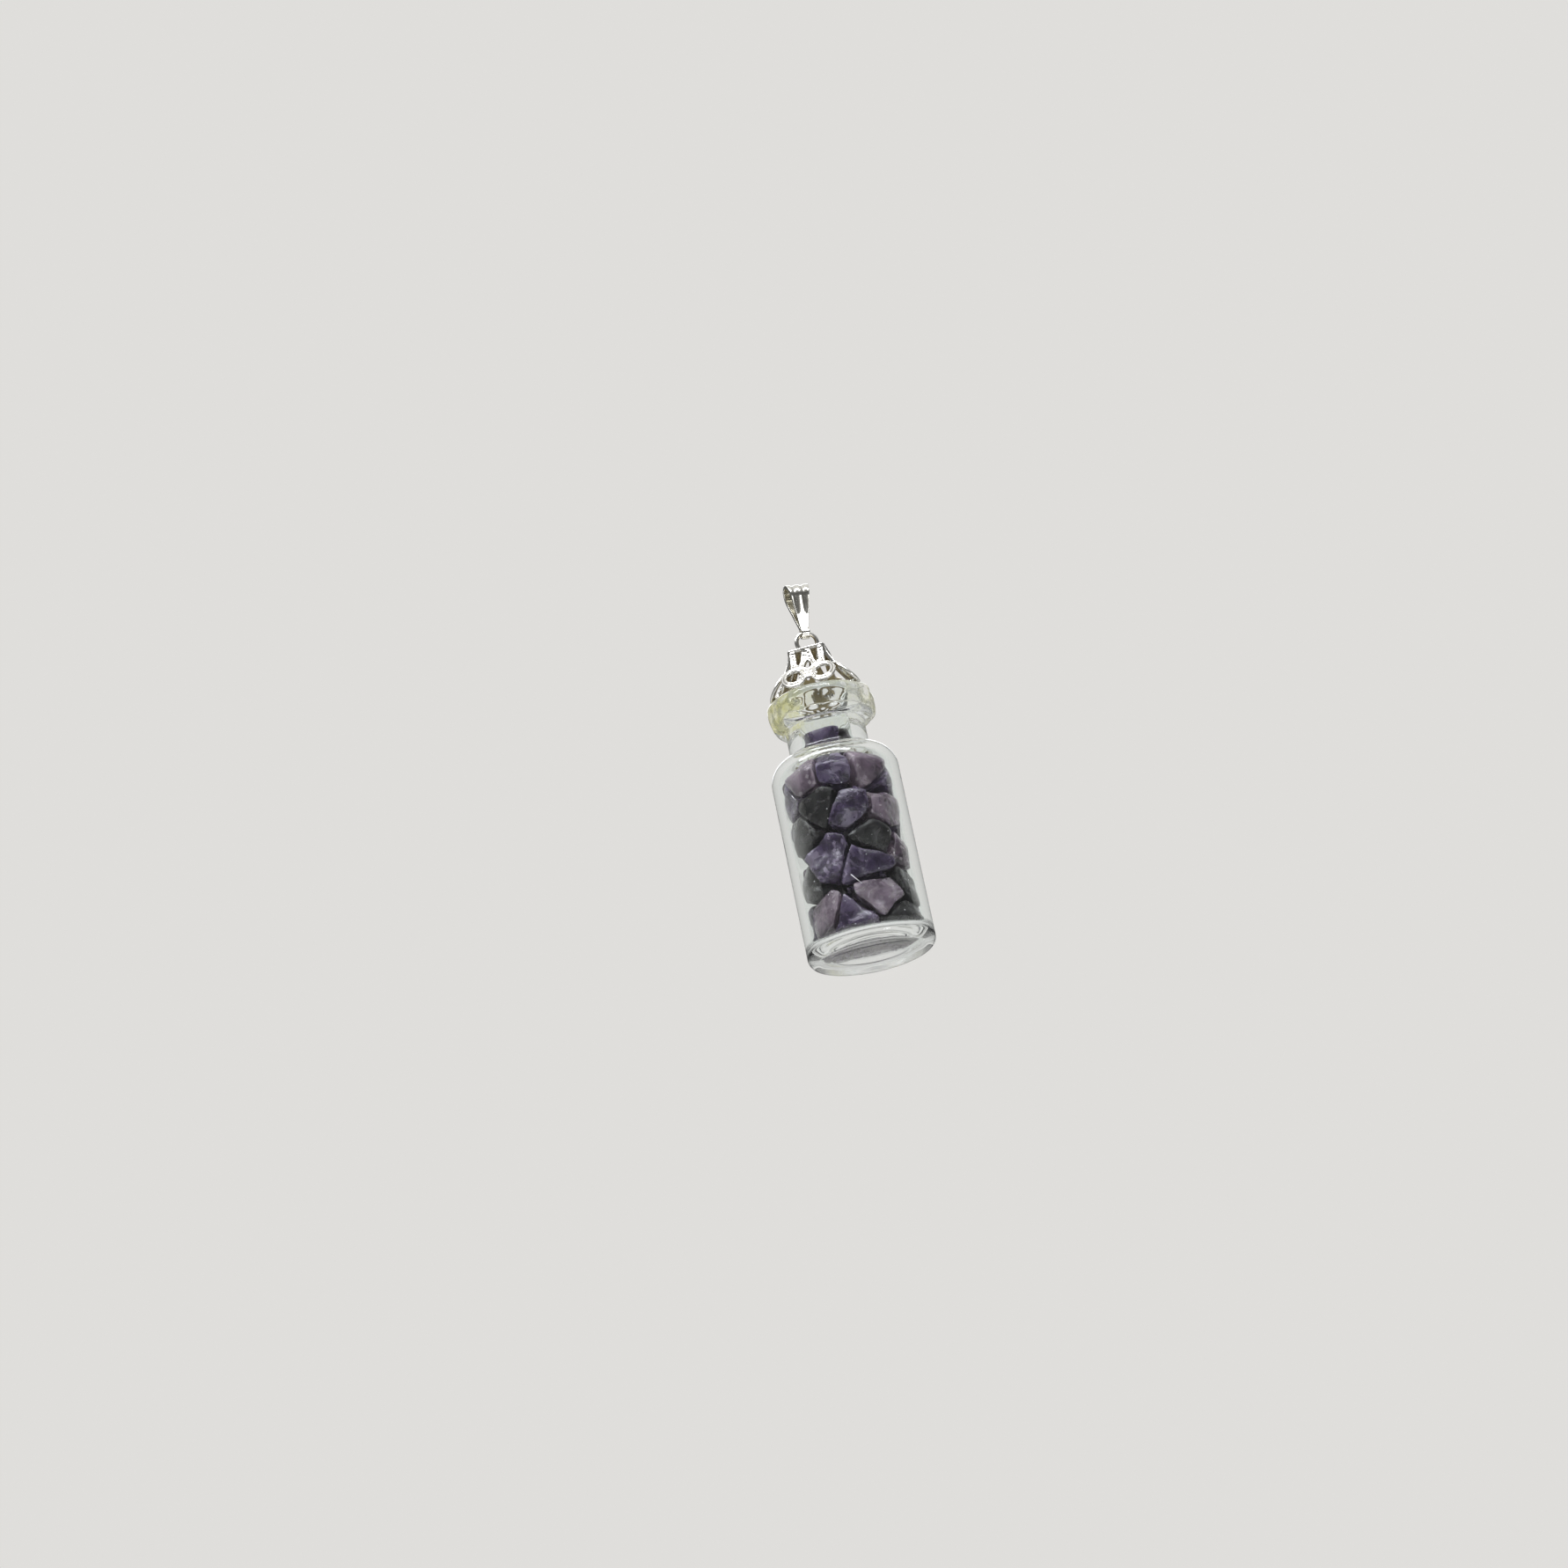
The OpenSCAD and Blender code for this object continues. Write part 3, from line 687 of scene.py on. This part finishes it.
def petal_flat(bm, s):
    """The flat petal: its pierced sheet, the two rings and the relief on its outside, at
    (across, down, out) in metres, where out is zero on the sheet's outside."""
    half, h, t, line = s.petal_waist_w / 2, s.petal_h, s.petal_t, s.relief

    def spot(place, side, out=0.0):
        return (side * place[0] * half, place[1] * h, out)

    for side in (-1, 1):
        for panel in PETAL_PANELS:
            add_sheet(bm, [spot(corner, side)[:2] for corner in panel], -t / 2, t)
        for route in PETAL_LINES:
            for start, end in zip(route, route[1:]):
                add_rod(bm, spot(start, side), spot(end, side), line, line)
        # Each ring's own metal, then the raised beads round its hole and along its rim. How far out
        # each lies and how thick it is are shares of the sheet's thickness
        ring_place = (side * s.ring_pitch / 2, h - s.ring_d / 2)
        for out, outer_d, hole_d, thick in (
                (-0.55, s.ring_d, s.ring_hole_d + 0.1 * MM, 0.75),
                (-0.2, s.ring_hole_d + 2 * s.ring_bead, s.ring_hole_d, 1.3),
                (-0.3, s.ring_d, s.ring_d - 1.3 * s.ring_bead, 0.9)):
            add_ring(bm, (*ring_place, out * t), outer_d, hole_d, thick * t)
        for place, wide in PETAL_SCROLLS:
            add_ring(bm, spot(place, side), wide * MM, 0.4 * wide * MM, 0.24 * MM)
        across, first, step, beads = POST_BEADS
        for k in range(beads):
            add_ball(bm, spot((across, first + step * k), side, 0.02 * MM),
                     (s.bead_d, s.bead_d, 0.75 * s.bead_d))
    for down, wide in BRIDGE_BANDS:
        left, right = (spot((side * 0.45, down), 1, -0.02 * MM) for side in (-1, 1))
        add_rod(bm, left, right, wide * MM, 0.3 * MM)
    draw = random.Random(5)
    for k in range(GRAINS):
        down = 0.08 + 0.2 * k / (GRAINS - 1)
        wide = 0.1 + 0.45 * down
        add_ball(bm, spot((draw.uniform(-wide, wide), down), 1), (GRAIN_D, GRAIN_D, GRAIN_D))


# The solder at each foot of the loop: distance from the axis, then width, depth and height
SOLDER_X = 0.45 * MM
SOLDER_SIZE = (1.5 * MM, 1.0 * MM, 0.44 * MM)


class PENDANT_OT_cap(Operator):
    """Make the pierced cap: four stamped petals, a square plate and the wire loop soldered on it"""

    bl_idname = "pendant.cap"
    bl_label = "Cap"

    def execute(self, context):
        s = context.scene.pendant_cap
        bm = bmesh.new()
        plate_z = CAP_LOW.z + s.petal_h
        for k in range(4):
            petal = bmesh.new()
            petal_flat(petal, s)
            turn = Matrix.Rotation(s.petal_turn - math.pi / 2 + k * math.pi / 2, 3, "Z")
            for v in petal.verts:
                across, down, out = v.co
                reach, slope = petal_reach(s, down)
                z = plate_z - down + out * math.sin(slope)
                v.co = turn @ Vector((reach + out * math.cos(slope), across, max(z, CAP_LOW.z)))
            join(bm, petal)
        plate = bmesh.new()
        bmesh.ops.create_cube(plate, size=1,
                              matrix=Matrix.Diagonal((s.plate_w, s.plate_w, s.plate_t, 1)))
        upright = [e for e in plate.edges
                   if abs(e.verts[0].co.z - e.verts[1].co.z) > s.plate_t / 2]
        bmesh.ops.bevel(plate, geom=upright, offset=s.plate_round, segments=5, profile=0.5,
                        affect="EDGES", material=-1)
        join(bm, plate, Matrix.Translation((0, 0, plate_z - s.plate_t / 2))
             @ Matrix.Rotation(s.petal_turn, 4, "Z"))
        loop = bmesh.new()
        loop_z = plate_z - s.loop_sink + s.loop_d / 2
        middle, half = (s.loop_d - s.loop_wire) / 2, s.loop_wire / 2
        turned(loop, [(middle + half * x, half * z) for x, z in FULL_ROUND], 64)
        join(bm, loop, Matrix.Translation((0, 0, loop_z)) @ Matrix.Rotation(math.pi / 2, 4, "X"))
        for side in (-1, 1):
            add_ball(bm, (side * SOLDER_X, 0, plate_z - 0.05 * MM), SOLDER_SIZE, 3)
        piece = add_mesh("cap_metal", bm)
        fuse(piece, s.voxel, 2)
        dress(piece, SWING["child"],
              silver_material("cap_silver", (0.93, 0.915, 0.87), (0.24, 0.22, 0.17), 0.10, 0.24,
                              painted_inside_shade=True))
        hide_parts("cap")
        return {"FINISHED"}


def lip_skin(s, grow, start, end, steps):
    """Points on the lip's outside, grown by grow, from one height above the base to another."""
    points = []
    top = LIP_Z - BASE_Z
    r = s.lip_round
    for k in range(steps + 1):
        z = start + (end - start) * k / steps
        over = max(0, z - (top - r), (top - s.lip_h + r) - z)
        inset = r - math.sqrt(max(0, r * r - over * over))
        points.append((s.lip_d / 2 + grow - inset, z))
    return points


def bottle_outline(s):
    """Half outline of the glass as (radius, height above the base), from the base's middle round
    the outside and back through the bore to the floor's middle. The straight parts start and end
    a little away from the arcs."""
    body_r = BOTTLE_HIGH.x
    top = LIP_Z - BASE_Z
    neck_r, bore_r, lip_r = s.neck_d / 2, s.bore_d / 2, s.lip_d / 2
    shoulder_r = body_r - neck_r
    shoulder_z = top - s.lip_h - s.neck_h - shoulder_r
    ceiling_r = shoulder_r - s.wall
    inner_r = body_r - s.wall
    punt_half = s.punt_d / 2
    punt_r = (punt_half ** 2 + s.punt_h ** 2) / (2 * s.punt_h)
    punt_open = math.degrees(math.asin(punt_half / punt_r))
    hollow_z = shoulder_z + math.sqrt(shoulder_r ** 2 + 2 * shoulder_r * s.neck_round)
    meet = math.degrees(math.atan2(hollow_z - shoulder_z, s.neck_round))
    edge_r = (neck_r - bore_r) / 2
    under = top - s.lip_h
    points = arc(0, s.punt_h - punt_r, punt_r, 90, 90 - punt_open, 14)
    points[0] = (0.0, s.punt_h)
    points += arc(body_r - s.heel_r, s.heel_r, s.heel_r, -90, 0)
    points += run((body_r, s.heel_r + 1 * MM), (body_r, shoulder_z), 16)
    points += arc(neck_r, shoulder_z, shoulder_r, 0, meet, 14)
    points += arc(neck_r + s.neck_round, hollow_z, s.neck_round, 180 + meet, 180, 6)[1:]
    points += run((neck_r, hollow_z + 0.3 * MM), (neck_r, under - 0.15 * MM), 4)
    points += [(neck_r, under - 0.1 * MM), (neck_r + 0.1 * MM, under)]
    points += arc(lip_r - s.lip_round, under + s.lip_round, s.lip_round, -90, 0)
    points += arc(lip_r - s.lip_round, top - s.lip_round, s.lip_round, 0, 90)
    points += arc(bore_r + edge_r, top - edge_r, edge_r, 90, 180)
    points += run((bore_r, top - edge_r - 0.5 * MM), (bore_r, shoulder_z + ceiling_r + edge_r), 8)
    points += arc(bore_r + edge_r, shoulder_z + ceiling_r + edge_r, edge_r, 180, 270)
    points += arc(neck_r, shoulder_z, ceiling_r, 88, 0, 12)
    points += run((inner_r, shoulder_z - 1 * MM), (inner_r, s.floor_t + s.heel_r), 16)
    points += arc(inner_r - s.heel_r, s.floor_t + s.heel_r, s.heel_r, 0, -90)
    points += run((inner_r - s.heel_r - 0.6 * MM, s.floor_t), (0, s.floor_t), 8)
    points.append((0.0, s.floor_t))
    return points


class PENDANT_OT_bottle(Operator):
    """Turn the clear glass vial with its thick domed base, round shoulder, neck and rolled lip"""

    bl_idname = "pendant.bottle"
    bl_label = "Bottle"

    def execute(self, context):
        s = context.scene.pendant_bottle
        bm = bmesh.new()
        turned(bm, [(r, z + BASE_Z) for r, z in bottle_outline(s)], s.steps)
        for v in bm.verts:
            r = math.hypot(v.co.x, v.co.y)
            if r > 0.5 * MM:
                sway = noise.noise(Vector((v.co.x, v.co.y, 0.6 * v.co.z)) / (3.5 * MM))
                set_radius(v, r, r - s.ripple * (0.5 + 0.5 * sway))
        piece = add_mesh("glass_vial", bm)
        dress(piece, SWING["child"], glass_material())
        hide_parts("bottle")
        # Clear glass lets the light through to the chips
        piece.visible_shadow = False
        return {"FINISHED"}


# Where resin has run down from the collar: the turn about the axis and half its width in degrees,
# and its length as a share of the longest drip
DRIPS = ((-169, 8, 1.0), (-184, 6, 0.6), (-12, 9, 0.4), (105, 8, 0.5))
# How far the collar's top stays below the lip's top, and half the width in degrees of the swelling
# at a petal's foot
COLLAR_DROP = 0.2 * MM
FOOT_WIDE = 9


def gap_between(turn, other):
    """Degrees between two turns, at most 180."""
    return abs((turn - other + 180) % 360 - 180)


def swell(turn, at, wide):
    """How much resin has gathered at a turn: 1 at the turn at, and less to each side of it."""
    return math.exp(-(gap_between(turn, at) / wide) ** 2)


class PENDANT_OT_resin(Operator):
    """Make the lumpy collar of clear resin that was squeezed out round the lip under the cap"""

    bl_idname = "pendant.resin"
    bl_label = "Resin seal"

    def execute(self, context):
        s = context.scene.pendant_resin
        glass = context.scene.pendant_bottle
        cap = context.scene.pendant_cap
        end = LIP_Z - BASE_Z - COLLAR_DROP
        start = end - s.collar_h
        inner = lip_skin(glass, s.clearance, start, end, 16)
        outer = lip_skin(glass, s.clearance, end, start, 16)
        outer = [(r + s.collar_t * math.sin(math.pi * k / (len(outer) + 1)) ** 0.6, z)
                 for k, (r, z) in enumerate(outer, 1)]
        bm = bmesh.new()
        turned(bm, [(r, z + BASE_Z) for r, z in inner + outer], s.steps)
        ring_turn = math.degrees(math.asin(cap.ring_pitch / 2 / cap.tip_r))
        feet = [math.degrees(cap.petal_turn) + 90 * k + side * ring_turn
                for k in range(4) for side in (-1, 1)]
        for v in bm.verts:
            r = math.hypot(v.co.x, v.co.y)
            z = v.co.z - BASE_Z
            turn = math.degrees(math.atan2(v.co.y, v.co.x))
            stand = r - lip_skin(glass, s.clearance, z, z, 1)[0][0]
            up = (z - start) / s.collar_h
            round_lip = Vector((v.co.x, v.co.y, 0)) / r
            lump = 0.4 + 0.8 * noise.noise(2.6 * round_lip + Vector((0, 0, z / (1.6 * MM))))
            lump += 0.6 * sum(swell(turn, foot, FOOT_WIDE) for foot in feet) * (0.3 + 0.7 * up)
            runs = [part * swell(turn, at, wide) for at, wide, part in DRIPS]
            sag = s.sag * (0.5 + 0.5 * noise.noise(3.1 * round_lip)) + s.drip * sum(runs)
            z -= sag * max(0, 1 - up) ** 1.5
            lump = min(1.35, max(0.1, lump + 0.4 * sum(runs)))
            v.co.z = z + BASE_Z
            set_radius(v, r, lip_skin(glass, s.clearance, z, z, 1)[0][0] + stand * lump)
        # Flat beads of resin on the lip's top at the petals' feet
        draw = random.Random(3)
        for foot in feet:
            for _ in range(2):
                turn = math.radians(foot + draw.uniform(-11, 11))
                reach = cap.tip_r + draw.uniform(-0.35, -0.05) * MM
                place = Vector((reach * math.cos(turn), reach * math.sin(turn), LIP_Z + 0.16 * MM))
                wide = 2 * draw.uniform(0.3, 0.5) * MM
                add_ball(bm, place, (wide, wide, 0.28 * MM), 3)
        piece = add_mesh("resin_collar", bm)
        dress(piece, SWING["child"], resin_material())
        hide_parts("resin_seal")
        piece.visible_shadow = False
        return {"FINISHED"}


def extents(mesh):
    """Lowest and highest corner of a mesh."""
    places = [v.co for v in mesh.vertices]
    return (Vector(min(p[k] for p in places) for k in range(3)),
            Vector(max(p[k] for p in places) for k in range(3)))


def tumble(piece, s, seed, room_r):
    """Rounds a faceted block into a tumbled chip, with shallow hollows and pits worn into it."""
    low, high = extents(piece.data)
    fuse(piece, s.voxel, s.rounding)
    mesh = piece.data
    small_low, small_high = extents(mesh)
    middle = (low + high) / 2
    small_middle = (small_low + small_high) / 2
    grow = [1 + s.fill * ((high - low)[k] / (small_high - small_low)[k] - 1) for k in range(3)]
    # Each chip takes its hollows and pits from another part of the noise
    shift = Vector((seed * 7.3, seed * 3.1, seed * 5.7))
    bm = bmesh.new()
    bm.from_mesh(mesh)
    for v in bm.verts:
        off = v.co - small_middle
        v.co = middle + Vector(off[k] * grow[k] for k in range(3))
    bm.normal_update()
    for v in bm.verts:
        wide = noise.noise(v.co / s.hollow_size + shift)
        small = noise.fractal(v.co / (0.5 * MM) + shift, 1.0, 2.0, 3)
        v.co -= v.normal * (s.hollow * (0.5 + 0.5 * wide) ** 2 + s.pit * (0.5 + 0.5 * small))
    for v in bm.verts:
        r = math.hypot(v.co.x, v.co.y)
        if r > room_r:
            set_radius(v, r, room_r)
    bm.to_mesh(mesh)
    bm.free()
    mesh.shade_smooth()


# Painted glints on the chips in front, as pale specks that are partly quartz: the turn about the
# axis in degrees and the height above the base in millimetres
GLINT_SPECKS = (
    (-122, 17.6), (-124, 16.5), (-93, 19.4), (-39, 21.0), (-38, 7.9), (-143, 7.3), (-137, 7.4),
    (-63, 3.5), (-35, 3.8), (-118, 2.5), (-92, 11.0), (-82, 9.0), (-102, 20.6), (-157, 9.6),
)
# Painted glints as pale slivers, partly quartz, on the chips in front: the same two numbers for
# each end
GLINT_SLIVERS = (((-112, 8.7), (-103, 7.4)), ((-124, 7.5), (-128, 6.8)), ((-92, 15.2), (-96, 14.6)))
# In millimetres: radius of a placed speck, least and most radius and height of the others, and
# radius of a sliver at its two ends
GLINT_SPECK_R = 0.07
FINE_GLINT_R = (0.02, 0.045)
FINE_GLINT_UP = (2.5, 22)
GLINT_SLIVER_R = (0.06, 0.02)
# Crumbs: the finish, the number of places that are tried, and how far apart two of them lie by
# the wall and on the floor, as a share of their radii together
CRUMB_SLOT = "amethyst_violet"
CRUMB_TRIES = 9000
WALL_SPREAD, FLOOR_SPREAD = 2.0, 0.8
# In millimetres: least and most radius of a crumb, how far those by the wall and those on the
# floor stay away from the wall, how deep the layer by the wall is, and how far below the chips'
# top it ends
CRUMB_R = (0.3, 0.8)
WALL_GAP, FLOOR_GAP = 0.8, 1.3
WALL_LAYER = 2
CRUMB_STOP = 7


class PENDANT_OT_chips(Operator):
    """Make the tumbled amethyst chips, one for each solid, and the small stones between them"""

    bl_idname = "pendant.chips"
    bl_label = "Amethyst chips"

    def execute(self, context):
        s = context.scene.pendant_chips
        glass = context.scene.pendant_bottle
        inner_r = BOTTLE_HIGH.x - glass.wall
        finishes = {slot: stone_material(slot) for slot in STONE_TONES}
        trees = []
        for seed, node in enumerate(CHIP_NODES, 1):
            bm = bmesh.new()
            bm.from_mesh(frame["nodes"][node].data)
            bmesh.ops.remove_doubles(bm, verts=bm.verts, dist=1e-6)
            piece = add_mesh(node.replace("chip", "amethyst"), bm)
            tumble(piece, s, seed, inner_r - s.wall_gap)
            dress(piece, SWING["child"], finishes[SLOTS[node]])
            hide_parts(node)
            mesh = piece.data
            trees.append(BVHTree.FromPolygons([v.co for v in mesh.vertices],
                                              [p.vertices for p in mesh.polygons]))
        self.add_crumbs(s, trees, inner_r, finishes[CRUMB_SLOT])
        self.add_glint_specks(s, trees, inner_r)
        return {"FINISHED"}

    def add_crumbs(self, s, trees, inner_r, finish):
        """Small crumbs of stone in the gaps between the chips, by turns behind the wall and on the
        bottle's floor."""
        floor = BASE_Z + bpy.context.scene.pendant_bottle.floor_t + s.wall_gap
        low = floor + 0.4 * MM
        high = max(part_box(node)[1].z for node in CHIP_NODES) - CRUMB_STOP * MM
        draw = random.Random(11)
        bm = bmesh.new()
        kept = []
        for attempt in range(CRUMB_TRIES):
            if len(kept) >= s.crumbs:
                break
            r = draw.uniform(*CRUMB_R) * MM
            turn = draw.uniform(0, 2 * math.pi)
            if attempt % 2:
                away = inner_r - WALL_GAP * MM - r - draw.random() * WALL_LAYER * MM
                height = draw.uniform(low, high)
                spread = WALL_SPREAD
            else:
                away = (inner_r - FLOOR_GAP * MM - r) * math.sqrt(draw.random())
                height = floor + r
                spread = FLOOR_SPREAD
            place = Vector((away * math.cos(turn), away * math.sin(turn), height))
            crowded = any((place - other).length < spread * (r + other_r)
                          for other, other_r in kept)
            if crowded or not clear_of(trees, place, 0.6 * r):
                continue
            kept.append((place, r))
            shift = Vector((len(kept), 0, 0))
            for v in add_ball(bm, place, (2 * r, 2 * r, 2 * r), 3):
                off = v.co - place
                v.co = place + off * (0.72 + 0.6 * noise.noise(0.8 * off / r + shift))
        piece = add_mesh("amethyst_crumbs", bm)
        dress(piece, SWING["child"], finish)

    def add_glint_specks(self, s, trees, inner_r):
        """Pale specks and slivers that lie on the chips: painted glints, partly clear quartz."""
        draw = random.Random(23)
        bm = bmesh.new()
        places = [(turn, up, GLINT_SPECK_R) for turn, up in GLINT_SPECKS]
        places += [(draw.uniform(0, 360), draw.uniform(*FINE_GLINT_UP), draw.uniform(*FINE_GLINT_R))
                   for _ in range(s.specks)]
        for turn, up, radius in places:
            spot = chip_spot(trees, inner_r, turn, up)
            if spot is not None:
                wide = 2 * radius * MM
                add_ball(bm, spot, (wide, wide, wide), 1)
        for start, end in GLINT_SLIVERS:
            a, b = (chip_spot(trees, inner_r, *place) for place in (start, end))
            if a is None or b is None:
                continue
            way = b - a
            turn = way.to_track_quat("Z", "Y").to_matrix().to_4x4()
            bmesh.ops.create_cone(bm, segments=6, radius1=GLINT_SLIVER_R[0] * MM,
                                  radius2=GLINT_SLIVER_R[1] * MM, cap_ends=True, depth=way.length,
                                  matrix=Matrix.Translation((a + b) / 2) @ turn)
        piece = add_mesh("glint_and_quartz_specks", bm)
        dress(piece, SWING["child"], glint_and_quartz_material())


def chip_spot(trees, inner_r, turn, up):
    """The place on the chips' outermost surface behind a spot of the glass, or None."""
    turn = math.radians(turn)
    out = Vector((math.cos(turn), math.sin(turn), 0))
    start = out * inner_r + Vector((0, 0, BASE_Z + up * MM))
    hits = [tree.ray_cast(start, -out, 3 * MM) for tree in trees]
    hits = [hit for hit in hits if hit[0] is not None]
    return min(hits, key=lambda hit: hit[3])[0] if hits else None


def clear_of(trees, place, gap):
    """Whether a place lies outside every chip and at least gap away from it."""
    for tree in trees:
        near, normal, _, far = tree.find_nearest(place, 2 * MM)
        if near is not None and (far < gap or (place - near).dot(normal) < 0):
            return False
    return True


def direction(azimuth, elevation):
    """The way out to a viewer at an azimuth, counted from the front, and an elevation."""
    level = math.cos(elevation)
    return Vector((math.sin(azimuth) * level, -math.cos(azimuth) * level, math.sin(elevation)))


# Each light's name, azimuth and elevation in degrees, distance in metres, width and height in
# metres, and watts
LIGHTS = (
    ("overhead", -32, 60, 0.5, (0.75, 0.13), 3.8),
    ("low_front", 16, -10, 0.5, (0.12, 0.12), 0.22),
    ("behind", 165, 35, 0.6, (0.3, 0.3), 0.6),
)
LIGHT_COLOUR = (0.95, 0.97, 1.0)
# Brightness of the room from straight below to straight above, as (position, value)
ROOM = ((0.0, 0.5), (0.35, 0.3), (0.5, 0.16), (0.68, 0.12), (0.82, 0.5), (1.0, 0.9))


class PENDANT_OT_stage(Operator):
    """Set the pale floor, the soft light and the camera at the photograph's angle"""

    bl_idname = "pendant.stage"
    bl_label = "Stage"

    def execute(self, context):
        s = context.scene.pendant_stage
        bm = bmesh.new()
        bmesh.ops.create_circle(bm, cap_ends=True, segments=96, radius=3.0,
                                matrix=Matrix.Translation((0, 0, s.floor_z)))
        floor = add_mesh("floor", bm)
        floor.data.materials.append(self.floor_material(s))
        self.add_world(context, s)
        middle = (CAD_LOW + CAD_HIGH) / 2
        for light in LIGHTS:
            self.add_light(middle, *light)
        # Light that enters at the base runs up inside the glass wall and takes many bounces there
        context.scene.cycles.max_bounces = 64
        context.scene.cycles.glossy_bounces = 48
        context.scene.cycles.transmission_bounces = 32
        context.scene.view_settings.view_transform = "Standard"
        self.add_camera(context, s)
        return {"FINISHED"}

    def floor_material(self, s):
        """Matt pale card."""
        material, shader, place = new_material("pale_floor")
        grain = add_noise(material, place, 0.03, 3.0)
        pale = tuple(0.9 * c for c in s.backdrop)
        grey = tuple(0.97 * c for c in pale)
        # The card glows a little, as one that is lit by the whole room
        fill(material, shader, {
            "Base Color": add_ramp(material, grain, [(0.3, grey), (0.7, pale)]),
            "Roughness": 0.8,
            "Emission Color": pale,
            "Emission Strength": 0.15,
        })
        return material

    def add_world(self, context, s):
        """A pale backdrop that shows behind the pendant and through its glass, and a dimmer room
        that lights it and that its polished surfaces reflect: dark at eye level, lighter above."""
        world = bpy.data.worlds.new("soft_surround")
        context.scene.world = world
        world.use_nodes = True
        way = add_node(world, "TexCoord", {})["Generated"]
        split = add_node(world, "SeparateXYZ", {"Vector": way})
        height = add_range(world, split["Z"], -1.0, 1.0)
        room = add_ramp(world, height, [(position, (value,) * 3) for position, value in ROOM])
        path = add_node(world, "LightPath", {})
        through = add_maths(world, "MAXIMUM", path["Is Camera Ray"], path["Is Transmission Ray"])
        # Light that reaches a chip through the glass comes from the room, not from the backdrop,
        # and so does what the glass mirrors from the front
        matt = add_maths(world, "LESS_THAN", path["Diffuse Depth"], 0.5)
        unmirrored = add_maths(world, "LESS_THAN", path["Glossy Depth"], 0.5)
        behind = add_maths(world, "GREATER_THAN", split["Y"], 0.0)
        either = add_maths(world, "MAXIMUM", unmirrored, behind)
        seen = add_maths(world, "MULTIPLY", through, add_maths(world, "MULTIPLY", matt, either))
        fill(world, world.node_tree.nodes["Background"],
             {"Color": add_mix(world, seen, room, s.backdrop)})

    def add_light(self, middle, name, azimuth, elevation, away, size, power):
        """A soft light, size wide and high, that faces the pendant."""
        out = direction(math.radians(azimuth), math.radians(elevation))
        data = bpy.data.lights.new(name, "AREA")
        data.shape = "RECTANGLE"
        data.size, data.size_y = size
        data.energy = power
        data.color = LIGHT_COLOUR
        lamp = bpy.data.objects.new(name, data)
        lamp.location = middle + out * away
        lamp.rotation_euler = out.to_track_quat("Z", "Y").to_euler()
        # The glass shows the light on its outer skin, but no second image of it from inside
        lamp.visible_transmission = False
        bpy.context.scene.collection.objects.link(lamp)

    def add_camera(self, context, s):
        """The camera, below the pendant's level and leaning as the photograph does."""
        out = direction(s.azimuth, s.elevation)
        look = out.to_track_quat("Z", "Y").to_matrix() @ Matrix.Rotation(-s.roll, 3, "Z")
        middle = (CAD_LOW + CAD_HIGH) / 2
        place = middle + out * s.distance
        target = middle - look @ Vector((s.aside, s.above, 0))
        aim = (place - target).normalized()
        bend = out.rotation_difference(aim).to_matrix()
        data = bpy.data.cameras.new("camera")
        data.lens = s.lens
        data.sensor_width = 36.0
        camera = bpy.data.objects.new("camera", data)
        context.scene.collection.objects.link(camera)
        camera.matrix_world = Matrix.Translation(place) @ (bend @ look).to_4x4()
        context.scene.camera = camera


class PENDANT_PT_sidebar(Panel):
    """Shows each group of settings with the button that builds its piece"""

    bl_idname = "PENDANT_PT_sidebar"
    bl_label = "Bottle pendant"
    bl_space_type = "VIEW_3D"
    bl_region_type = "UI"
    bl_category = "Pendant"

    def draw(self, context):
        for name, _, operator in GROUPS:
            box = self.layout.box()
            settings = getattr(context.scene, name)
            for key in settings.__annotations__:
                box.prop(settings, key)
            box.operator(operator.bl_idname)


# Each group of settings with the scene property that holds it and the operator that reads it
GROUPS = (
    ("pendant_bail", BailSettings, PENDANT_OT_bail),
    ("pendant_cap", CapSettings, PENDANT_OT_cap),
    ("pendant_bottle", BottleSettings, PENDANT_OT_bottle),
    ("pendant_resin", ResinSettings, PENDANT_OT_resin),
    ("pendant_chips", ChipSettings, PENDANT_OT_chips),
    ("pendant_stage", StageSettings, PENDANT_OT_stage),
)


def register():
    for name, settings, operator in GROUPS:
        bpy.utils.register_class(settings)
        bpy.utils.register_class(operator)
        setattr(bpy.types.Scene, name, PointerProperty(type=settings))
    bpy.utils.register_class(PENDANT_PT_sidebar)


def unregister():
    bpy.utils.unregister_class(PENDANT_PT_sidebar)
    for name, settings, operator in reversed(GROUPS):
        delattr(bpy.types.Scene, name)
        bpy.utils.unregister_class(operator)
        bpy.utils.unregister_class(settings)


def main():
    register()
    bpy.ops.pendant.bail()
    bpy.ops.pendant.cap()
    bpy.ops.pendant.bottle()
    bpy.ops.pendant.resin()
    bpy.ops.pendant.chips()
    bpy.ops.pendant.stage()


if __name__ == "__main__":
    main()
